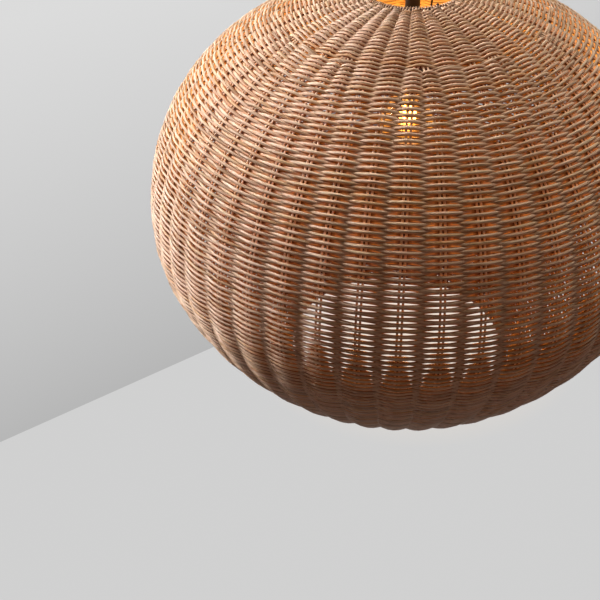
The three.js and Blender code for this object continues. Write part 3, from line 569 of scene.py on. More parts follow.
def sweep(nodes, curve, radius, material):
    """Skins a curve with a round section and closes its ends."""
    mesh = nodes.add("GeometryNodeCurveToMesh", {
        "Curve": curve, "Profile Curve": wire_section(nodes),
        "Scale": radius, "Fill Caps": True,
    }).outputs[0]
    smooth = nodes.add("GeometryNodeSetShadeSmooth", {"Geometry": mesh}).outputs[0]
    real = nodes.add("GeometryNodeRealizeInstances", {"Geometry": smooth}).outputs[0]
    return nodes.add("GeometryNodeSetMaterial", {
        "Geometry": real, "Material": material,
    }).outputs[0]


def copies_of_line(nodes, points, copies):
    """Open curves of so many points, with the number of each point and of each curve."""
    line = nodes.add("GeometryNodeMeshLine", {"Count": points}).outputs[0]
    index = nodes.add("GeometryNodeInputIndex").outputs[0]
    line, place = keep_value(nodes, line, index)
    curve = nodes.add("GeometryNodeMeshToCurve", {"Mesh": line}).outputs[0]
    seats = nodes.add("GeometryNodeMeshLine", {"Count": copies}).outputs[0]
    seats, number = keep_value(nodes, seats, index)
    many = nodes.add("GeometryNodeInstanceOnPoints", {"Points": seats, "Instance": curve})
    real = nodes.add("GeometryNodeRealizeInstances", {"Geometry": many.outputs[0]})
    return real.outputs[0], place, number


def on_wall(nodes, wall, distance, side):
    """(radius, height) so far down the wall and so far outside its middle line."""
    sample = nodes.add("GeometryNodeSampleCurve", {0: wall}, mode="LENGTH")
    nodes.feed(sample.inputs["Length"], distance)
    point, along = nodes.split(sample.outputs[1]), nodes.split(sample.outputs[2])
    radius = nodes.minus(point[0], nodes.times(along[2], side))
    height = nodes.times_plus(along[0], side, point[2])
    return radius, height


def set_place(nodes, curve, radius, height, turn, shift=0.0):
    """Puts points at a radius and height, turned about Z, with a shift along the round."""
    cosine, sine = nodes.math("COSINE", turn), nodes.math("SINE", turn)
    x = nodes.minus(nodes.times(radius, cosine),
                   nodes.times(shift, sine))
    y = nodes.plus(nodes.times(radius, sine),
                   nodes.times(shift, cosine))
    return nodes.add("GeometryNodeSetPosition", {
        "Geometry": curve, "Position": nodes.join(x, y, height),
    }).outputs[0]


def from_added_pair(nodes, pair):
    """Quarter turns from the middle of the sector of four pairs that the added one is in."""
    return nodes.times(nodes.minus(pair, 0.5), math.pi / 2)


def spread_pairs(nodes, pair, below, given):
    """Where a pair stands. Just below the join the added pairs crowd their neighbours, and
    the crown's own pairs count from the middle of a sector."""
    crowd = nodes.range(below, 0.0, CROWDED_FOR, CROWDING, 0.0)
    sine = nodes.math("SINE", from_added_pair(nodes, pair))
    body = nodes.minus(pair, nodes.times(crowd, sine))
    crown = nodes.plus(pair, 0.5 * CROWN_PAIRS / STAKE_PAIRS)
    is_body = nodes.math("GREATER_THAN", given["Pairs"], (CROWN_PAIRS + STAKE_PAIRS) / 2)
    return nodes.add("ShaderNodeMix", {0: is_body, 2: crown, 3: body}).outputs[0]


def part_rounds(nodes, pair, below, given):
    """How far the rounds next to the join are pushed apart by the ends of the added pairs."""
    full = nodes.over(STAKE_PAIRS, given["Pairs"])
    is_crown = nodes.math("GREATER_THAN", full, 1.1)
    place = nodes.times_plus(pair, full, nodes.times(is_crown, 0.5))
    near = nodes.math("COSINE", from_added_pair(nodes, place))
    bump = nodes.math("POWER", nodes.math("MAXIMUM", near, 0.0), 6.0)
    side = nodes.range(below, -1 * MM, 1 * MM, -1.0, 1.0)
    away = nodes.math("ABSOLUTE", below)
    fade = nodes.math("EXPONENT", nodes.over(away, -PARTED_FOR))
    return nodes.times(nodes.times(bump, side),
                      nodes.times(fade, PARTING))


def weaver_tree():
    """Rounds of weaving: each strand swings outside one pair of stakes, inside the next."""
    tree, nodes, given, put = new_tree("weavers", "GeometryNodeTree", [
        ("Wall", "Geometry", None), ("First round", "Int", 0), ("Rounds", "Int", 10),
        ("Crown rounds", "Int", CROWN_ROUNDS), ("Crown pitch", "Float", CROWN_PITCH),
        ("Body pitch", "Float", BODY_PITCH), ("Lip", "Float", LIP),
        ("Pairs", "Int", STAKE_PAIRS), ("Samples", "Int", SAMPLES_PER_PAIR),
        ("Turn", "Float", STAKE_TURN), ("Join", "Float", JOIN),
        ("Wave", "Float", WAVE), ("Drift", "Float", DRIFT), ("Seed", "Int", 5),
        ("Material", "Material", None),
    ], [("Weavers", "Geometry")])
    wall = nodes.add("GeometryNodeMeshToCurve", {"Mesh": given["Wall"]}).outputs[0]
    points = nodes.times_plus(given["Pairs"], given["Samples"], 1.0)
    strand, sample, row = copies_of_line(nodes, points, given["Rounds"])

    number = nodes.plus(row, given["First round"])
    odd = nodes.math("MODULO", number, 2.0)
    parity = nodes.minus(1.0, odd)
    pick = random_number(nodes, 0.0, nodes.over(given["Pairs"], 2.0), number,
                         given["Seed"])
    start = nodes.times_plus(nodes.math("FLOOR", pick), 2.0, parity)
    pair = nodes.plus(start, nodes.over(sample, given["Samples"]))
    full_turn = nodes.over(2 * math.pi, given["Pairs"])

    # how far down the wall the round lies, with a slow drift that neighbours share
    late = nodes.math("MAXIMUM", nodes.minus(number, given["Crown rounds"]), 0.0)
    widening = nodes.minus(given["Body pitch"], given["Crown pitch"])
    rounds_above = nodes.times_plus(nodes.plus(number, 0.5),
                              given["Crown pitch"], given["Lip"])
    down = nodes.times_plus(late, widening, rounds_above)
    below = nodes.minus(down, given["Join"])
    angle = nodes.plus(nodes.times(spread_pairs(nodes, pair, below, given),
                                         full_turn),
                       nodes.minus(given["Turn"], math.pi / 2))
    around = nodes.join(nodes.math("COSINE", angle), nodes.math("SINE", angle),
                        nodes.times(down, 4.0))
    slow = nodes.range(nodes.noise(around, 2.6, 1.0), 0.25, 0.75, -1.0, 1.0)
    near = nodes.plus(number, 400.0)
    quick_place = nodes.join(nodes.times(pair, 0.35), near, 0.0)
    quick = nodes.range(nodes.noise(quick_place, 1.7, 0.0), 0.2, 0.8, -JITTER, JITTER)
    ends = nodes.math("MINIMUM", nodes.times(down, 12.0), 1.0)
    drift = nodes.times(nodes.times(slow, ends), given["Drift"])
    parted = part_rounds(nodes, pair, below, given)
    distance = nodes.plus(nodes.plus(down, nodes.plus(drift, parted)),
                          quick)

    # the swing in and out of the pairs, smaller where the pairs stand close
    wave = nodes.math("COSINE", nodes.times(nodes.plus(pair, number), math.pi))
    level, _ = on_wall(nodes, wall, down, 0.0)
    room = nodes.range(nodes.times(level, full_turn), CLOSE_PAIRS, WIDE_PAIRS, 0.5, 1.0)
    loose = random_number(nodes, 0.93, 1.07, number, given["Seed"], 1.0)
    swing = nodes.times(nodes.times(given["Wave"], room), loose)
    radius, height = on_wall(nodes, wall, distance, nodes.times(wave, swing))
    strand = set_place(nodes, strand, radius, height, angle)
    strand = nodes.add("GeometryNodeSetCurveNormal", {"Curve": strand}, mode="Z_UP").outputs[0]

    # thickness: fullest over the stakes, squeezed where neighbours cross
    tight = nodes.range(number, nodes.minus(given["Crown rounds"], TIGHTENING),
                        given["Crown rounds"], 0.0, 1.0)
    slim, full = (nodes.range(tight, 0.0, 1.0, *ends) for ends in zip(CROWN_STRAND, BODY_STRAND))
    crest = nodes.times(wave, wave)
    plain = nodes.times_plus(nodes.minus(full, slim), crest, slim)
    odd_size = random_number(nodes, 0.93, 1.06, number, given["Seed"], 2.0)
    thickness = nodes.times(plain, odd_size)

    # a second strand takes over behind a pair, somewhere along the round
    change = random_number(nodes, 4.0, 20.0, number, given["Seed"], 3.0)
    joint = nodes.times(nodes.math("FLOOR", change),
                       nodes.times(given["Samples"], 2.0))
    second = nodes.math("GREATER_THAN", sample, joint)
    piece_number = nodes.times_plus(number, 2.0, second)
    tone = random_number(nodes, 0.0, 1.0, piece_number, given["Seed"], 4.0)
    length = nodes.times(nodes.times(pair, full_turn), radius)
    for name, value in (("strand", tone), ("along", length), ("swing", wave)):
        strand = store(nodes, strand, name, value)

    result = sweep(nodes, strand, thickness, given["Material"])
    nodes.feed(put[0], result)
    return tree


def stake_tree():
    """Pairs of rods that follow the wall's middle line from opening to opening."""
    tree, nodes, given, put = new_tree("stakes", "GeometryNodeTree", [
        ("Wall", "Geometry", None), ("Pairs", "Int", STAKE_PAIRS), ("Points", "Int", 44),
        ("Length", "Float", WALL_LENGTH), ("Turn", "Float", STAKE_TURN),
        ("Spread", "Float", PAIR_SPREAD), ("Radius", "Float", STAKE_RADIUS),
        ("Join", "Float", JOIN), ("Uneven", "Float", STAKE_UNEVEN), ("Seed", "Int", 11),
        ("Material", "Material", None),
    ], [("Stakes", "Geometry")])
    wall = nodes.add("GeometryNodeMeshToCurve", {"Mesh": given["Wall"]}).outputs[0]
    rod, sample, number = copies_of_line(
        nodes, given["Points"], nodes.times(given["Pairs"], 2.0))

    pair = nodes.math("FLOOR", nodes.times(number, 0.5))
    side = nodes.minus(nodes.times(nodes.math("MODULO", number, 2.0), 2.0),
                      1.0)
    full_turn = nodes.over(2 * math.pi, given["Pairs"])
    added = nodes.add("ShaderNodeMath", {0: nodes.math("MODULO", pair, 4.0), 1: 1.0, 2: 0.1},
                      operation="COMPARE").outputs[0]
    cut = random_number(nodes, -0.3, 1.0, number, given["Seed"])
    begin = nodes.times_plus(cut, given["Uneven"],
                       nodes.times(added, nodes.minus(given["Join"],
                                                                4 * MM)))
    share = nodes.over(sample, nodes.minus(given["Points"], 1.0))
    run = nodes.minus(given["Length"], begin)
    distance = nodes.times_plus(run, share, begin)
    below = nodes.minus(distance, given["Join"])
    sine = nodes.math("SINE", from_added_pair(nodes, pair))
    inner = nodes.math("GREATER_THAN", nodes.math("COSINE", from_added_pair(nodes, pair)), 0.0)
    crowded = nodes.range(below, 0.0, CROWDED_FOR, CROWDING, 0.0)
    closing = nodes.times(inner, nodes.range(below, -9 * MM, 3 * MM, 0.457, 0.0))
    shift = nodes.times(sine, nodes.plus(crowded, closing))
    angle = nodes.plus(nodes.times(nodes.minus(pair, shift),
                                         full_turn),
                       nodes.minus(given["Turn"], math.pi / 2))
    radius, height = on_wall(nodes, wall, distance, STAKE_OUT)
    room = nodes.over(nodes.times(radius, full_turn), 4.0)
    spread = nodes.math("MINIMUM", given["Spread"], room)
    rod = set_place(nodes, rod, radius, height, angle, nodes.times(side, spread))
    tone = random_number(nodes, 0.45, 0.85, number, given["Seed"], 1.0)
    for name, value in (("strand", tone), ("along", distance), ("swing", 1.0)):
        rod = store(nodes, rod, name, value)
    result = sweep(nodes, rod, given["Radius"], given["Material"])
    nodes.feed(put[0], result)
    return tree


def lashing_tree():
    """A thin strand wound round and round a ring, in even turns."""
    tree, nodes, given, put = new_tree("lashing", "GeometryNodeTree", [
        ("Guide", "Geometry", None), ("Ring radius", "Float", 0.1), ("Level", "Float", 0.0),
        ("Half depth", "Float", 2 * MM), ("Half height", "Float", 2 * MM), ("Turns", "Int", 100),
        ("Samples", "Int", 10), ("Strand", "Float", 0.6 * MM), ("Seed", "Int", 3),
        ("Material", "Material", None),
    ], [("Lashing", "Geometry")])
    points = nodes.times(given["Turns"], given["Samples"])
    strand, sample, _ = copies_of_line(nodes, points, 1)
    strand = nodes.add("GeometryNodeSetSplineCyclic", {"Geometry": strand, "Cyclic": True})
    turn = nodes.over(sample, given["Samples"])
    full_turn = nodes.over(2 * math.pi, given["Turns"])
    angle = nodes.times(turn, full_turn)
    winding = nodes.times(turn, 2 * math.pi)
    loose = random_number(nodes, 0.0, 0.25 * MM, nodes.math("FLOOR", turn), given["Seed"])
    depth = nodes.plus(given["Half depth"], loose)
    radius = nodes.times_plus(nodes.math("COSINE", winding), depth,
                        given["Ring radius"])
    height = nodes.times_plus(nodes.math("SINE", winding),
                        nodes.plus(given["Half height"], loose), given["Level"])
    strand = set_place(nodes, strand.outputs[0], radius, height, angle)
    tone = random_number(nodes, 0.3, 0.8, nodes.math("FLOOR", turn), given["Seed"])
    along = nodes.times(winding, given["Half depth"])
    for name, value in (("strand", tone), ("along", along), ("swing", 1.0)):
        strand = store(nodes, strand, name, value)
    result = sweep(nodes, strand, given["Strand"], given["Material"])
    nodes.feed(put[0], result)
    return tree


def lash_rims():
    """Lashing round the hoop at the upper opening and round the rod at the lower one."""
    tree = lashing_tree()
    cane = rattan("lashing rattan")
    low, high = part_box("upper_hoop")
    thick = (high.z - low.z) / 2
    half = thick + HOOP_SLACK
    upper = grown("upper_lashing", tree, WALL, {
        "Ring radius": high.x - thick, "Level": HOOP_LEVEL, "Half depth": half,
        "Half height": half, "Turns": HOOP_TURNS, "Strand": HOOP_STRAND, "Material": cane,
    })
    seat(upper, SHADE, "rattan")
    low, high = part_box("rim_rod")
    strand = RIM_STRAND
    depth, height = RIM_DEPTH / 2 - strand, (high.z - low.z) / 2 - strand
    lower = grown("rim_lashing", tree, WALL, {
        "Ring radius": high.x - RIM_DEPTH / 2, "Level": (low.z + high.z) / 2,
        "Half depth": depth, "Half height": height, "Turns": RIM_TURNS, "Strand": strand,
        "Material": cane,
    })
    core = turned("rim_core", rounded([
        (high.x - RIM_DEPTH + strand, low.z + strand, 1 * MM),
        (high.x - strand, low.z + strand, 1 * MM), (high.x - strand, high.z - strand, 1 * MM),
        (high.x - RIM_DEPTH + strand, high.z - strand, 1 * MM)]), ring=True, steps=144)
    seat(lower, SHADE, "stake_rattan", "rim_rod")
    fit(core, CORE_CANE, SHADE)


BODY_ZONES = ("shoulder", "belly", "bowl", "foot")
CROWN_NODES = ("crown_outer", "crown_inner")
COURSES, PANELS = nodes_named("course_"), nodes_named("stake_panel_")


def weave_globe():
    """Every round of weaving, the crown's apart from four zones of the rest, and the stakes."""
    tree = weaver_tree()
    cane = rattan("woven rattan", painted_recess_shade=0.3)
    crown = grown("weavers_crown", tree, WALL, {
        "Rounds": JOIN_ROUND, "Pairs": CROWN_PAIRS, "Samples": CROWN_SAMPLES,
        "Material": cane,
    })
    seat(crown, SHADE, "rattan", *CROWN_NODES)
    size = math.ceil((ROUNDS - JOIN_ROUND) / len(BODY_ZONES))
    share = len(COURSES) // len(BODY_ZONES)
    for zone, name in enumerate(BODY_ZONES):
        first = JOIN_ROUND + zone * size
        piece = grown("weavers_" + name, tree, WALL, {
            "First round": first, "Rounds": min(size, ROUNDS - first), "Material": cane,
        })
        seat(piece, SHADE, "rattan", *COURSES[zone * share:(zone + 1) * share])
    stakes = grown("stakes", stake_tree(), WALL, {
        # the stakes' copy of the rattan is 1.25 times lighter: painted light
        "Material": rattan("stake rattan", 1.25, glowing=False),
    })
    seat(stakes, SHADE, "stake_rattan", *PANELS)


# ------------------------------------------------------------- turned and formed pieces

TURN_STEPS = 72


def rounded(corners, steps=5):
    """The outline of (radius, height, fillet) corners, each drawn out to its fillet."""
    outline = []
    for i, (radius, height, fillet) in enumerate(corners):
        here = Vector((radius, height))
        if not fillet:
            outline.append(here)
            continue
        before, after = (Vector(corners[(i + k) % len(corners)][:2]) for k in (-1, 1))
        start = here + (before - here).normalized() * fillet
        end = here + (after - here).normalized() * fillet
        for step in range(steps + 1):
            t = step / steps
            outline.append(start.lerp(here, t).lerp(here.lerp(end, t), t))
    return outline


def finished(name, work, crease=35):
    """Closes and smooths a mesh, except over edges sharper than the crease angle."""
    bmesh.ops.remove_doubles(work, verts=work.verts, dist=0.002 * MM)
    bmesh.ops.dissolve_degenerate(work, edges=work.edges, dist=0.001 * MM)
    bmesh.ops.recalc_face_normals(work, faces=work.faces)
    mesh = bpy.data.meshes.new(name)
    work.to_mesh(mesh)
    work.free()
    mesh.shade_smooth()
    mesh.set_sharp_from_angle(angle=math.radians(crease))
    return link(bpy.data.objects.new(name, mesh))


def turned(name, outline, ring=False, steps=TURN_STEPS, shape=None, about_x=None):
    """Turns an outline about the Z axis, or about X at a level. A ring's outline closes on
    itself, and any other starts and ends on the axis. Shape moves a point at an angle."""
    work = bmesh.new()
    rows = []
    for i in range(steps):
        angle = 2 * math.pi * i / steps
        row = []
        for point in outline:
            radius, height = shape(point, angle) if shape else point
            place = Vector((radius * math.cos(angle), radius * math.sin(angle), height))
            if about_x is not None:
                place = Vector((place.z, place.y, about_x - place.x))
            row.append(work.verts.new(place))
        rows.append(row)
    spans = len(outline) if ring else len(outline) - 1
    for i, here in enumerate(rows):
        after = rows[(i + 1) % steps]
        for k in range(spans):
            m = (k + 1) % len(outline)
            work.faces.new((here[k], after[k], after[m], here[m]))
    return finished(name, work)


def tube(name, outer, inner, low, high, fillet=0.3 * MM, **settings):
    corners = [(inner, low, fillet), (outer, low, fillet), (outer, high, fillet),
               (inner, high, fillet)]
    return turned(name, rounded(corners), ring=True, **settings)


def thread(crest, depth, pitch, low, high):
    """A shape that sinks a wall at the crest radius into a round thread between levels."""
    def shape(point, angle):
        inside = abs(point.x - crest) < depth and low < point.y < high
        if not inside:
            return point
        fade = min(1, (point.y - low) / pitch, (high - point.y) / pitch)
        wave = (1 - math.cos(2 * math.pi * point.y / pitch - angle)) / 2
        return Vector((point.x - depth * fade * wave, point.y))
    return shape


def stepped(start, end, step):
    """Points from one (radius, height) to another, close enough to carry a thread."""
    count = max(2, round((Vector(end) - Vector(start)).length / step))
    return [Vector(start).lerp(Vector(end), i / count) for i in range(count + 1)]


def refined(node, bevel=0.35 * MM):
    """A bevelled, smooth copy of a CAD node."""
    work = bmesh.new()
    work.from_mesh(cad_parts[node].data)
    bmesh.ops.remove_doubles(work, verts=work.verts, dist=0.01 * MM)
    bmesh.ops.dissolve_limit(work, angle_limit=math.radians(1), verts=work.verts,
                             edges=work.edges)
    sharp = [e for e in work.edges
             if e.is_manifold and e.calc_face_angle() > math.radians(40)]
    bmesh.ops.bevel(work, geom=sharp, offset=bevel, segments=2, profile=0.6,
                    affect="EDGES", clamp_overlap=True)
    return finished(node + "_piece", work)


def wire(name, points, radius, closed=False):
    """Round wire through points, with its ends closed."""
    curve = bpy.data.curves.new(name, "CURVE")
    curve.dimensions = "3D"
    curve.bevel_depth = radius
    curve.bevel_resolution = 4
    curve.use_fill_caps = True
    spline = curve.splines.new("POLY")
    spline.points.add(len(points) - 1)
    for target, place in zip(spline.points, points):
        target.co = (*place, 1)
    spline.use_cyclic_u = closed
    source = link(bpy.data.objects.new(name, curve))
    graph = bpy.context.evaluated_depsgraph_get()
    mesh = bpy.data.meshes.new_from_object(source.evaluated_get(graph))
    bpy.data.objects.remove(source)
    mesh.name = name
    mesh.shade_smooth()
    return link(bpy.data.objects.new(name, mesh))


def fit_refined(node, material, body, bevel=0.5 * MM):
    """Fits a bevelled copy of a CAD node in its place."""
    return fit(refined(node, bevel), material, body, node)


# ------------------------------------------------------------------------- plain finishes


def grain_group():
    """Fine mottling of a plain finish, in the piece's own place in space."""
    tree, nodes, given, put = new_tree("surface grain", "ShaderNodeTree", [
        ("Fine", "Float", 900.0), ("Broad", "Float", 60.0), ("Smooth", "Float", 0.4),
        ("Rough", "Float", 0.55), ("Fleck", "Float", 0.1),
    ], [("Shade", "Float"), ("Roughness", "Float"), ("Height", "Float")])
    place = nodes.add("ShaderNodeTexCoord").outputs["Object"]
    fine = nodes.noise(place, given["Fine"], 3.0, 0.6)
    broad = nodes.noise(place, given["Broad"], 3.0, 0.55)
    both = nodes.times(nodes.plus(fine, broad), 0.5)
    fleck = nodes.times(nodes.minus(both, 0.5), given["Fleck"])
    nodes.feed(put["Shade"], nodes.times_plus(fleck, 4.0, 1.0))
    nodes.feed(put["Roughness"], nodes.range(both, 0.35, 0.65, given["Smooth"], given["Rough"]))
    nodes.feed(put["Height"], fine)
    return tree


GRAIN = grain_group()


def finish(name, slot, colour, fine, broad, smooth, rough, fleck=0.1, metal=0.0, bump=0.1,
           bright=None):
    """A plain finish whose shade, gloss and skin vary a little over the surface."""
    material, nodes, shader = new_material(name, slot)
    grain = nodes.add("ShaderNodeGroup", {}, node_tree=GRAIN)
    for socket, value in (("Fine", fine), ("Broad", broad), ("Smooth", smooth),
                          ("Rough", rough), ("Fleck", fleck)):
        grain.inputs[socket].default_value = value
    shade = grain.outputs["Shade"]
    tone = tinted(nodes, srgb(*colour), nodes.join(shade, shade, shade))
    nodes.feed(shader.inputs["Base Color"], tone)
    nodes.feed(shader.inputs["Roughness"], grain.outputs["Roughness"])
    raised = nodes.add("ShaderNodeBump", {
        "Strength": bump, "Distance": 0.1 * MM, "Height": grain.outputs["Height"],
    })
    nodes.feed(shader.inputs["Normal"], raised.outputs["Normal"])
    shader.inputs["Metallic"].default_value = metal
    if bright:
        shader.inputs["Emission Color"].default_value = bright
        shader.inputs["Emission Strength"].default_value = 1.0
    return material


def glass_finish(name, glow):
    """Clear glass with a faint warm glow from the filaments inside."""
    material, _, shader = new_material(name, "clear_glass")
    for socket, value in (("Base Color", srgb(255, 240, 214)), ("Roughness", 0.03),
                          ("IOR", 1.5), ("Transmission Weight", 1.0),
                          ("Emission Color", glow), ("Emission Strength", 1.0)):
        shader.inputs[socket].default_value = value
    return material


POWDER_COAT = finish("black powder coat", "black_metal", (15, 14, 14), 1400, 90, 0.42, 0.6,
                     0.25, bump=0.35)
BLACK_PLASTIC = finish("black moulded plastic", "black_plastic", (20, 20, 21), 700, 45, 0.3,
                       0.46, 0.2, bump=0.12)
ZINC = finish("zinc plated steel", "steel", (168, 170, 173), 500, 80, 0.25, 0.48, 0.16, 1.0)
NICKEL = finish("nickel plated cap", "cap_metal", (196, 190, 178), 300, 60, 0.14, 0.3, 0.1, 1.0)
BRASS = finish("spring brass", "brass", (201, 160, 82), 350, 70, 0.18, 0.38, 0.14, 1.0)
FRAME_WIRE = finish("brown lacquered wire", "frame_wire", (64, 38, 26), 800, 70, 0.34, 0.55, 0.4)
CERAMIC = finish("glazed steatite", "ceramic", (238, 233, 220), 260, 30, 0.16, 0.34, 0.06)
WHITE_PLASTIC = finish("white terminal plastic", "white_plastic", (226, 223, 214), 500, 40, 0.4,
                       0.56, 0.06)
CORE_CANE = finish("cane core", "stake_rattan", (150, 104, 66), 500, 60, 0.5, 0.68, 0.3,
                   bump=0.3)
BLACK_GLASS = finish("black bulb glass", "black_plastic", (12, 11, 14), 300, 30, 0.08, 0.2, 0.1)
FILAMENT = finish("glowing filament", "filament", (255, 196, 96), 900, 200, 0.4, 0.6, 0.2,
                  bright=(4.0, 2.3, 0.75, 1))

# ------------------------------------------------------------------------- ceiling fitting


def pan_screw(name, head_face, tail, level, radius, direction=1):
    """A slotted pan-headed screw that lies along X."""
    crown = head_face + 0.8 * radius
    head = 2 * radius
    outline = rounded([
        (0, tail, 0), (radius * 0.7, tail, 0), (radius, tail + radius * 0.5, 0.1 * MM),
        (radius, head_face, 0), (head, head_face, 0.15 * MM), (head, crown, 0.75 * radius),
        (0, crown + 0.1 * radius, 0),
    ])
    screw = turned(name, outline, steps=48, about_x=level)
    if direction < 0:
        screw.data.transform(Matrix.Rotation(math.pi, 4, "Z"))
    slot = bmesh.new()
    bmesh.ops.create_cube(slot, size=1, matrix=(
        Matrix.Translation((direction * (crown + 0.2 * radius), 0, level))
        @ Matrix.Diagonal((radius * 1.1, 0.45 * radius, 3 * head, 1))))
    carve(screw, finished("slot", slot))
    return screw


def carve(piece, cutter):
    """Cuts one mesh out of another and keeps the plain result."""
    modifier = piece.modifiers.new("cut", "BOOLEAN")
    modifier.operation, modifier.object, modifier.solver = "DIFFERENCE", cutter, "EXACT"
    graph = bpy.context.evaluated_depsgraph_get()
    mesh = bpy.data.meshes.new_from_object(piece.evaluated_get(graph))
    piece.modifiers.remove(modifier)
    mesh.name = piece.name
    mesh.set_sharp_from_angle(angle=math.radians(35))
    piece.data = mesh
    bpy.data.objects.remove(cutter)


def canopy():
    low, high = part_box("canopy_cup")
    radius, bore, wall = high.x, NIPPLE_RADIUS + CLEARANCE, CANOPY_WALL
    outline = rounded([
        (bore, low.z, 0.2 * MM), (radius, low.z, CANOPY_ROUND),
        (radius, high.z, 0.5 * MM), (radius - wall, high.z, 0.5 * MM),
        (radius - wall, low.z + wall, CANOPY_ROUND - wall), (bore, low.z + wall, 0.2 * MM),
    ], 12)
    fit(turned("canopy", outline, ring=True, steps=120), POWDER_COAT, FITTING, "canopy_cup")


def nipple():
    low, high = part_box("nipple")
    root = NIPPLE_RADIUS - NIPPLE_THREAD
    crest = stepped((NIPPLE_RADIUS, low.z + NIPPLE_THREAD),
                    (NIPPLE_RADIUS, high.z - NIPPLE_THREAD), 0.16 * MM)
    outline = [Vector((NIPPLE_BORE, high.z)), Vector((NIPPLE_BORE, low.z)),
               Vector((root, low.z)), *crest, Vector((root, high.z))]
    shape = thread(NIPPLE_RADIUS, NIPPLE_THREAD, NIPPLE_PITCH, low.z, high.z)
    piece = turned("threaded_nipple", outline, ring=True, steps=36, shape=shape)
    fit(piece, ZINC, FITTING, "nipple")


def ceiling_parts():
    canopy()
    nipple()
    fit_refined("ceiling_bracket", ZINC, FITTING, 0.4 * MM)
    fit_refined("nipple_nut", ZINC, FITTING)
    fit_refined("yoke_nut", ZINC, FITTING)
    fit_refined("terminal_block", WHITE_PLASTIC, FITTING)
    for node, direction in (("canopy_screw_left", -1), ("canopy_screw_right", 1)):
        low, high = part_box(node)
        reach = max(abs(low.x), high.x) - SCREW_RADIUS
        tail = min(abs(low.x), abs(high.x))
        screw = pan_screw(node + "_piece", reach, tail, node_level(node), SCREW_RADIUS, direction)
        fit(screw, ZINC, FITTING, node)


# ------------------------------------------------------------------------ swivel and stem


def swivel_parts():
    fit_refined("swivel_yoke", POWDER_COAT, "swivel")
    fit_refined("pivot_nut", ZINC, "swivel", 0.4 * MM)
    low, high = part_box("pivot_screw")
    screw = pan_screw("pivot_screw_piece", high.x - PIN_HEAD, low.x, node_level("pivot_screw"),
                      PIN_RADIUS)
    fit(screw, ZINC, "swivel", "pivot_screw")


def stem_parts():
    fit_refined("stem_knuckle", POWDER_COAT, SHADE)
    low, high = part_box("stem_tube")
    stem = tube("stem", high.x, high.x - STEM_WALL, low.z, high.z)
    fit(stem, POWDER_COAT, SHADE, "stem_tube")
    bore = high.x + CLEARANCE
    low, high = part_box("stem_collar")
    collar = turned("collar_nut", rounded([
        (bore, low.z, 0.2 * MM), (high.x, low.z, 0.3 * MM), (high.x, high.z, 0.9 * MM),
        (bore, high.z, 0.3 * MM),
    ]), ring=True)
    fit(collar, BLACK_PLASTIC, SHADE, "stem_collar")


# ---------------------------------------------------------------------------- lamp holder


def holder_cap():
    low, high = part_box("holder_cap")
    bore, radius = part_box("stem_tube")[1].x + CLEARANCE, high.x
    edge, roof = high.z - CAP_CONE, CAP_ROOF
    piece = turned("holder_cap_piece", rounded([
        (bore, high.z, 0.3 * MM), (CAP_SHOULDER, high.z, 1.2 * MM),
        (radius, edge, 3.2 * MM), (radius, low.z, 0.5 * MM),
        (radius - CAP_WALL, low.z, 0.3 * MM), (radius - CAP_WALL, edge - roof, 1 * MM),
        (CAP_SHOULDER - CAP_WALL, high.z - roof, 1 * MM), (bore, high.z - roof, 0.2 * MM),
    ]), ring=True, steps=96)
    fit(piece, BLACK_PLASTIC, SHADE, "holder_cap")


def holder_body():
    low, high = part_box("holder_body")
    radius = high.x
    inner, sleeve = radius - HOLDER_WALL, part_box("holder_cap")[1].x - CAP_WALL - CLEARANCE
    shoulder = node_foot("holder_cap") - CLEARANCE
    ledge_top = node_foot("ceramic_insert") - CLEARANCE
    ledge = node_radius("thread_shell") + CLEARANCE
    skirt = stepped((radius, node_top("upper_ring")), (radius, low.z + 0.6 * MM), THREAD_STEP)
    outline = [Vector(p) for p in (
        (inner, high.z), (sleeve, high.z), (sleeve, shoulder), (radius, shoulder))]
    outline += skirt + [Vector(p) for p in (
        (radius - 0.6 * MM, low.z), (inner, low.z), (inner, ledge_top - LEDGE),
        (ledge, ledge_top - LEDGE), (ledge, ledge_top), (inner, ledge_top))]
    shape = thread(radius, SKIRT_THREAD, HOLDER_PITCH, low.z + 0.5 * MM, node_top("upper_ring"))
    piece = turned("holder_body_piece", outline, ring=True, steps=72, shape=shape)
    fit(piece, BLACK_PLASTIC, SHADE, "holder_body")


def gripped_ring(name, node, body, count, depth, notch):
    """A threaded ring with rounded edges and grips round its rim."""
    low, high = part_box(node)
    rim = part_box("upper_ring")[1].x
    inner = node_radius("holder_body") + CLEARANCE

    def shape(point, angle):
        share = max(0.0, math.cos(count * angle)) ** notch
        outward = (point.x - inner) / (rim - inner)
        return Vector((point.x - depth * share * outward, point.y))

    piece = tube(name, rim, inner, low.z, high.z, 0.7 * MM, steps=count * 12, shape=shape)
    fit(piece, BLACK_PLASTIC, body, node)


def rolled_thread(name, node, wall, closed_end):
    """Sheet metal with a rolled thread: the bulb's cap, or the shell that it screws into."""
    low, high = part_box(node)
    crest = high.x
    top = high.z - (CAP_END if closed_end else 0)
    outer = stepped((crest, low.z), (crest, top), THREAD_STEP)
    inner = [Vector((crest - wall, p.y)) for p in reversed(outer)]
    if closed_end:
        end = crest - 2 * MM
        outer += [Vector((end + 0.5 * MM, high.z - 0.4 * MM)), Vector((end, high.z)),
                  Vector((0, high.z))]
        inner = [Vector((0, high.z - wall)), Vector((end - wall, high.z - wall)), *inner]
    shape = thread(crest, THREAD_DEPTH, LAMP_PITCH, low.z + 2 * MM, top + 0.1 * MM)
    return turned(name, outer + inner, ring=not closed_end, steps=96, shape=shape)


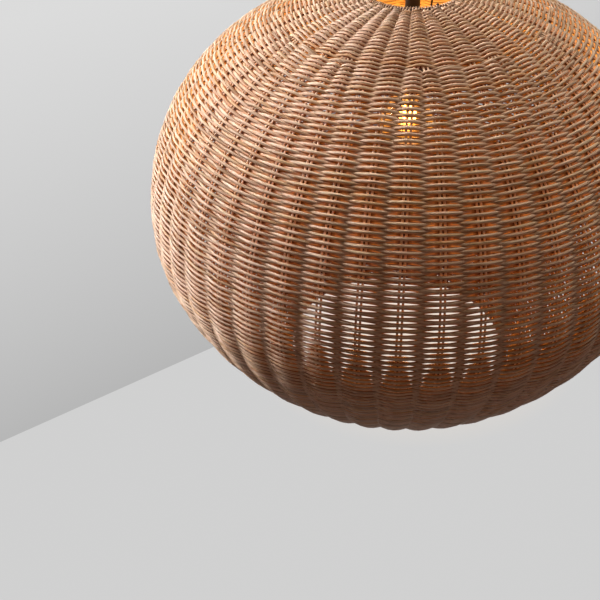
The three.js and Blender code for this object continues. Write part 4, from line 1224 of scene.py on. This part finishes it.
def holder_parts():
    holder_cap()
    holder_body()
    gripped_ring("upper_ring_piece", "upper_ring", SHADE, KNURLS, KNURL_DEPTH, 1)
    gripped_ring("lower_ring_piece", "lower_ring", "clamp_ring", GRIPS, GRIP_DEPTH, 6)
    fit_refined("ceramic_insert", CERAMIC, SHADE)
    shell = rolled_thread("thread_shell_piece", "thread_shell", SHELL_WALL, False)
    fit(shell, BRASS, SHADE, "thread_shell")
    fit_refined("centre_contact", BRASS, SHADE, 0.15 * MM)


# ----------------------------------------------------------------------------------- bulb


def glass_outline():
    """The bulb's outer glass, from its tip up into the cap."""
    low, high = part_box("bulb_glass")
    radius = high.x
    top = high.z - NECK_ENTRY
    ball = low.z + radius
    outline = [
        Vector((radius * math.cos(a), ball + radius * math.sin(a)))
        for a in (-math.pi / 2 + (NECK_MEETS + math.pi / 2) * i / 30 for i in range(31))
    ]
    outline[0].x = 0
    meets, lean = outline[-1], Vector((-math.sin(NECK_MEETS), math.cos(NECK_MEETS)))
    bend = meets + lean * ((meets.x - BULB_NECK) / -lean.x)
    foot = Vector((BULB_NECK, top))
    outline += [meets.lerp(bend, t).lerp(bend.lerp(foot, t), t)
                for t in (i / 16 for i in range(1, 17))]
    return outline + [Vector((BULB_NECK, high.z))]


def bulb_glass():
    outer = glass_outline()
    inner = []
    for i, point in enumerate(outer):
        before, after = outer[max(i - 1, 0)], outer[min(i + 1, len(outer) - 1)]
        along = (after - before).normalized()
        inner.append(point + GLASS_WALL * Vector((-along.y, along.x)))
    inner[0] = Vector((0, outer[0].y + GLASS_WALL))
    piece = turned("bulb_envelope", outer + inner[::-1], steps=96)
    piece.visible_shadow = False
    glass = glass_finish("clear bulb glass", (0.16, 0.075, 0.014, 1))
    fit(piece, glass, "bulb", "bulb_glass")


def bulb_parts():
    bulb_glass()
    cap = rolled_thread("bulb_cap_piece", "bulb_cap", BULB_CAP_WALL, True)
    fit(cap, NICKEL, "bulb", "bulb_cap")
    low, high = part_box("bulb_insulator")
    insulator = turned("insulator_piece", rounded([
        (0, low.z, 0), (high.x, low.z, 0.3 * MM), (5.4 * MM, high.z, 0.8 * MM), (0, high.z, 0),
    ]), steps=64)
    fit(insulator, BLACK_GLASS, "bulb", "bulb_insulator")
    low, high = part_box("bulb_tip")
    tip = turned("tip_piece", rounded([
        (0, low.z, 0), (high.x, low.z, 0.2 * MM), (high.x * 0.86, high.z, 0.7 * MM),
        (0, high.z + 0.1 * MM, 0),
    ]), steps=48)
    fit(tip, NICKEL, "bulb", "bulb_tip")
    glass = glass_finish("inner bulb glass", (0.3, 0.15, 0.03, 1))
    stem = fit_refined("filament_stem", glass, "bulb", 0.25 * MM)
    stem.visible_shadow = False
    for node in nodes_named("filament_0"):
        low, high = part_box(node)
        middle, radius = (low + high) / 2, (high.x - low.x) / 2
        strip = wire(node + "_piece", [(middle.x, middle.y, low.z + (high.z - low.z) * t / 12)
                                       for t in range(13)], radius)
        strip.visible_shadow = False
        fit(strip, FILAMENT, "bulb", node)


# ------------------------------------------------------------------------------ wire frame


def frame_parts():
    low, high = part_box("carrier_ring")
    ring = tube("carrier_ring_piece", high.x, node_radius("holder_body") + CLEARANCE,
                low.z, high.z, 0.4 * MM, steps=96)
    fit(ring, FRAME_WIRE, SHADE, "carrier_ring")
    low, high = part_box("upper_hoop")
    round_radius = high.x - (high.z - low.z) / 2
    hoop = [(round_radius * math.cos(a), round_radius * math.sin(a), HOOP_LEVEL)
            for a in (2 * math.pi * i / 120 for i in range(120))]
    fit(wire("upper_hoop_piece", hoop, HOOP_RADIUS, closed=True), FRAME_WIRE, SHADE, "upper_hoop")
    for node in nodes_named("carrier_leg"):
        fit_refined(node, FRAME_WIRE, SHADE, 0)


# ---------------------------------------------------------------------- stage and lights

# The room is laid out at half its size, and then drawn larger about the eye, so that its wall
# stands clear of views from every side.
STAGE_SPREAD = 2.0
FLOOR_LEVEL = -2.6
VIEW_TOP = -0.9                     # level at which the wall is at its palest
REACH = 6.0                         # how far the floor and the wall run
WALL_FROM = Vector((-1.337, 1.624))  # two points where the room's wall stands on the floor
WALL_TOWARDS = Vector((-0.874, 2.016))
LIT_PATCH = (0.05, 2.35, FLOOR_LEVEL)  # middle of the sunlit part of the floor
PATCH_EDGE, PATCH_CORE = 0.85, 0.25
SUNLIT = (0.86, 0.75, 0.64, 1)
FLOOR_SHADE, WALL_LOW, WALL_HIGH, ROOM_SHADE = 0.63, 0.47, 0.71, 0.62
FILL_BELOW, FILL_ABOVE = (0.05, 0.02, 0.007, 1), (0.09, 0.07, 0.05, 1)
LAMPS = (                           # name, place, size, watts, colour
    ("window", (-2.26, 0.49, 0.75), 1.0, 104, (1.0, 0.985, 0.97)),
    ("ceiling light", (0.55, 0.95, 2.0), 2.5, 50, (1.0, 0.95, 0.78)),
)
BULB_WATTS, BULB_COLOUR, BULB_SIZE = 1.5, (1.0, 0.42, 0.10), 0.012


def grey(level):
    return (level, level, level, 1)


def stage_plane(name, corners, material):
    """A flat stretch of the room."""
    mesh = bpy.data.meshes.new(name)
    mesh.from_pydata(corners, [], [range(len(corners))])
    mesh.materials.append(material)
    plane = link(bpy.data.objects.new(name, mesh))
    plane.scale = (STAGE_SPREAD, STAGE_SPREAD, STAGE_SPREAD)
    plane.location = EYE * (1 - STAGE_SPREAD)


def stage_material(name, low, high):
    """Pale paint: what the camera and reflections see of it is lifted by a plain glow, from
    the floor's level to the top of the view, and by sunlight on one part of the floor."""
    material, nodes, shader = new_material(name)
    shader.inputs["Base Color"].default_value = grey(0.02)
    shader.inputs["Roughness"].default_value = 0.9
    shader.inputs["Specular IOR Level"].default_value = 0.0
    place = nodes.add("ShaderNodeTexCoord").outputs["Object"]
    share = nodes.range(nodes.split(place)[2], FLOOR_LEVEL, VIEW_TOP)
    glow = mix_colours(nodes, share, grey(low), grey(high))
    away = nodes.vector("LENGTH", nodes.vector("SUBTRACT", place, LIT_PATCH), output="Value")
    glow = mix_colours(nodes, nodes.range(away, PATCH_EDGE, PATCH_CORE), glow, SUNLIT)
    glowing = mix_colours(nodes, seen_rays(nodes), (0, 0, 0, 1), glow)
    nodes.feed(shader.inputs["Emission Color"], glowing)
    shader.inputs["Emission Strength"].default_value = 1.0
    return material


def build_stage():
    stage_plane("floor", [
        (-REACH, -REACH, FLOOR_LEVEL), (REACH, -REACH, FLOOR_LEVEL),
        (REACH, REACH, FLOOR_LEVEL), (-REACH, REACH, FLOOR_LEVEL),
    ], stage_material("pale floor", FLOOR_SHADE, FLOOR_SHADE))
    along = (WALL_TOWARDS - WALL_FROM).normalized()
    left, right = WALL_FROM - along * REACH, WALL_TOWARDS + along * REACH
    stage_plane("room_wall", [
        (left.x, left.y, FLOOR_LEVEL), (right.x, right.y, FLOOR_LEVEL),
        (right.x, right.y, REACH), (left.x, left.y, REACH),
    ], stage_material("pale wall", WALL_LOW, WALL_HIGH))


def area_light(name, place, size, power, colour):
    """A round lamp that faces the middle of the globe."""
    data = bpy.data.lights.new(name, "AREA")
    data.shape, data.size, data.energy, data.color = "DISK", size, power, colour
    light = link(bpy.data.objects.new(name, data))
    light.location = place
    aim = Vector((0, 0, WIDEST_LEVEL)) - Vector(place)
    light.rotation_euler = aim.to_track_quat("-Z", "Y").to_euler()


def light_scene():
    for lamp in LAMPS:
        area_light(*lamp)
    bulb = bpy.data.lights.new("bulb", "POINT")
    bulb.energy, bulb.color, bulb.shadow_soft_size = BULB_WATTS, BULB_COLOUR, BULB_SIZE
    link(bpy.data.objects.new("bulb", bulb)).location = (0, 0, BULB_MIDDLE)
    light_room()


def light_room():
    """Warm fill from above. What the camera and reflections see of the room is pale."""
    world = bpy.data.worlds.new("room")
    world.use_nodes = True
    nodes = Nodes(world.node_tree)
    up = nodes.split(nodes.add("ShaderNodeTexCoord").outputs["Generated"])[2]
    fill = mix_colours(nodes, nodes.range(up, -1.0, 1.0), FILL_BELOW, FILL_ABOVE)
    room = mix_colours(nodes, seen_rays(nodes), fill, grey(ROOM_SHADE))
    nodes.feed(world.node_tree.nodes["Background"].inputs["Color"], room)
    bpy.context.scene.world = world


place_camera()
weave_globe()
ceiling_parts()
swivel_parts()
stem_parts()
holder_parts()
bulb_parts()
frame_parts()
lash_rims()
build_stage()
light_scene()

bpy.context.scene.view_settings.view_transform = "Standard"
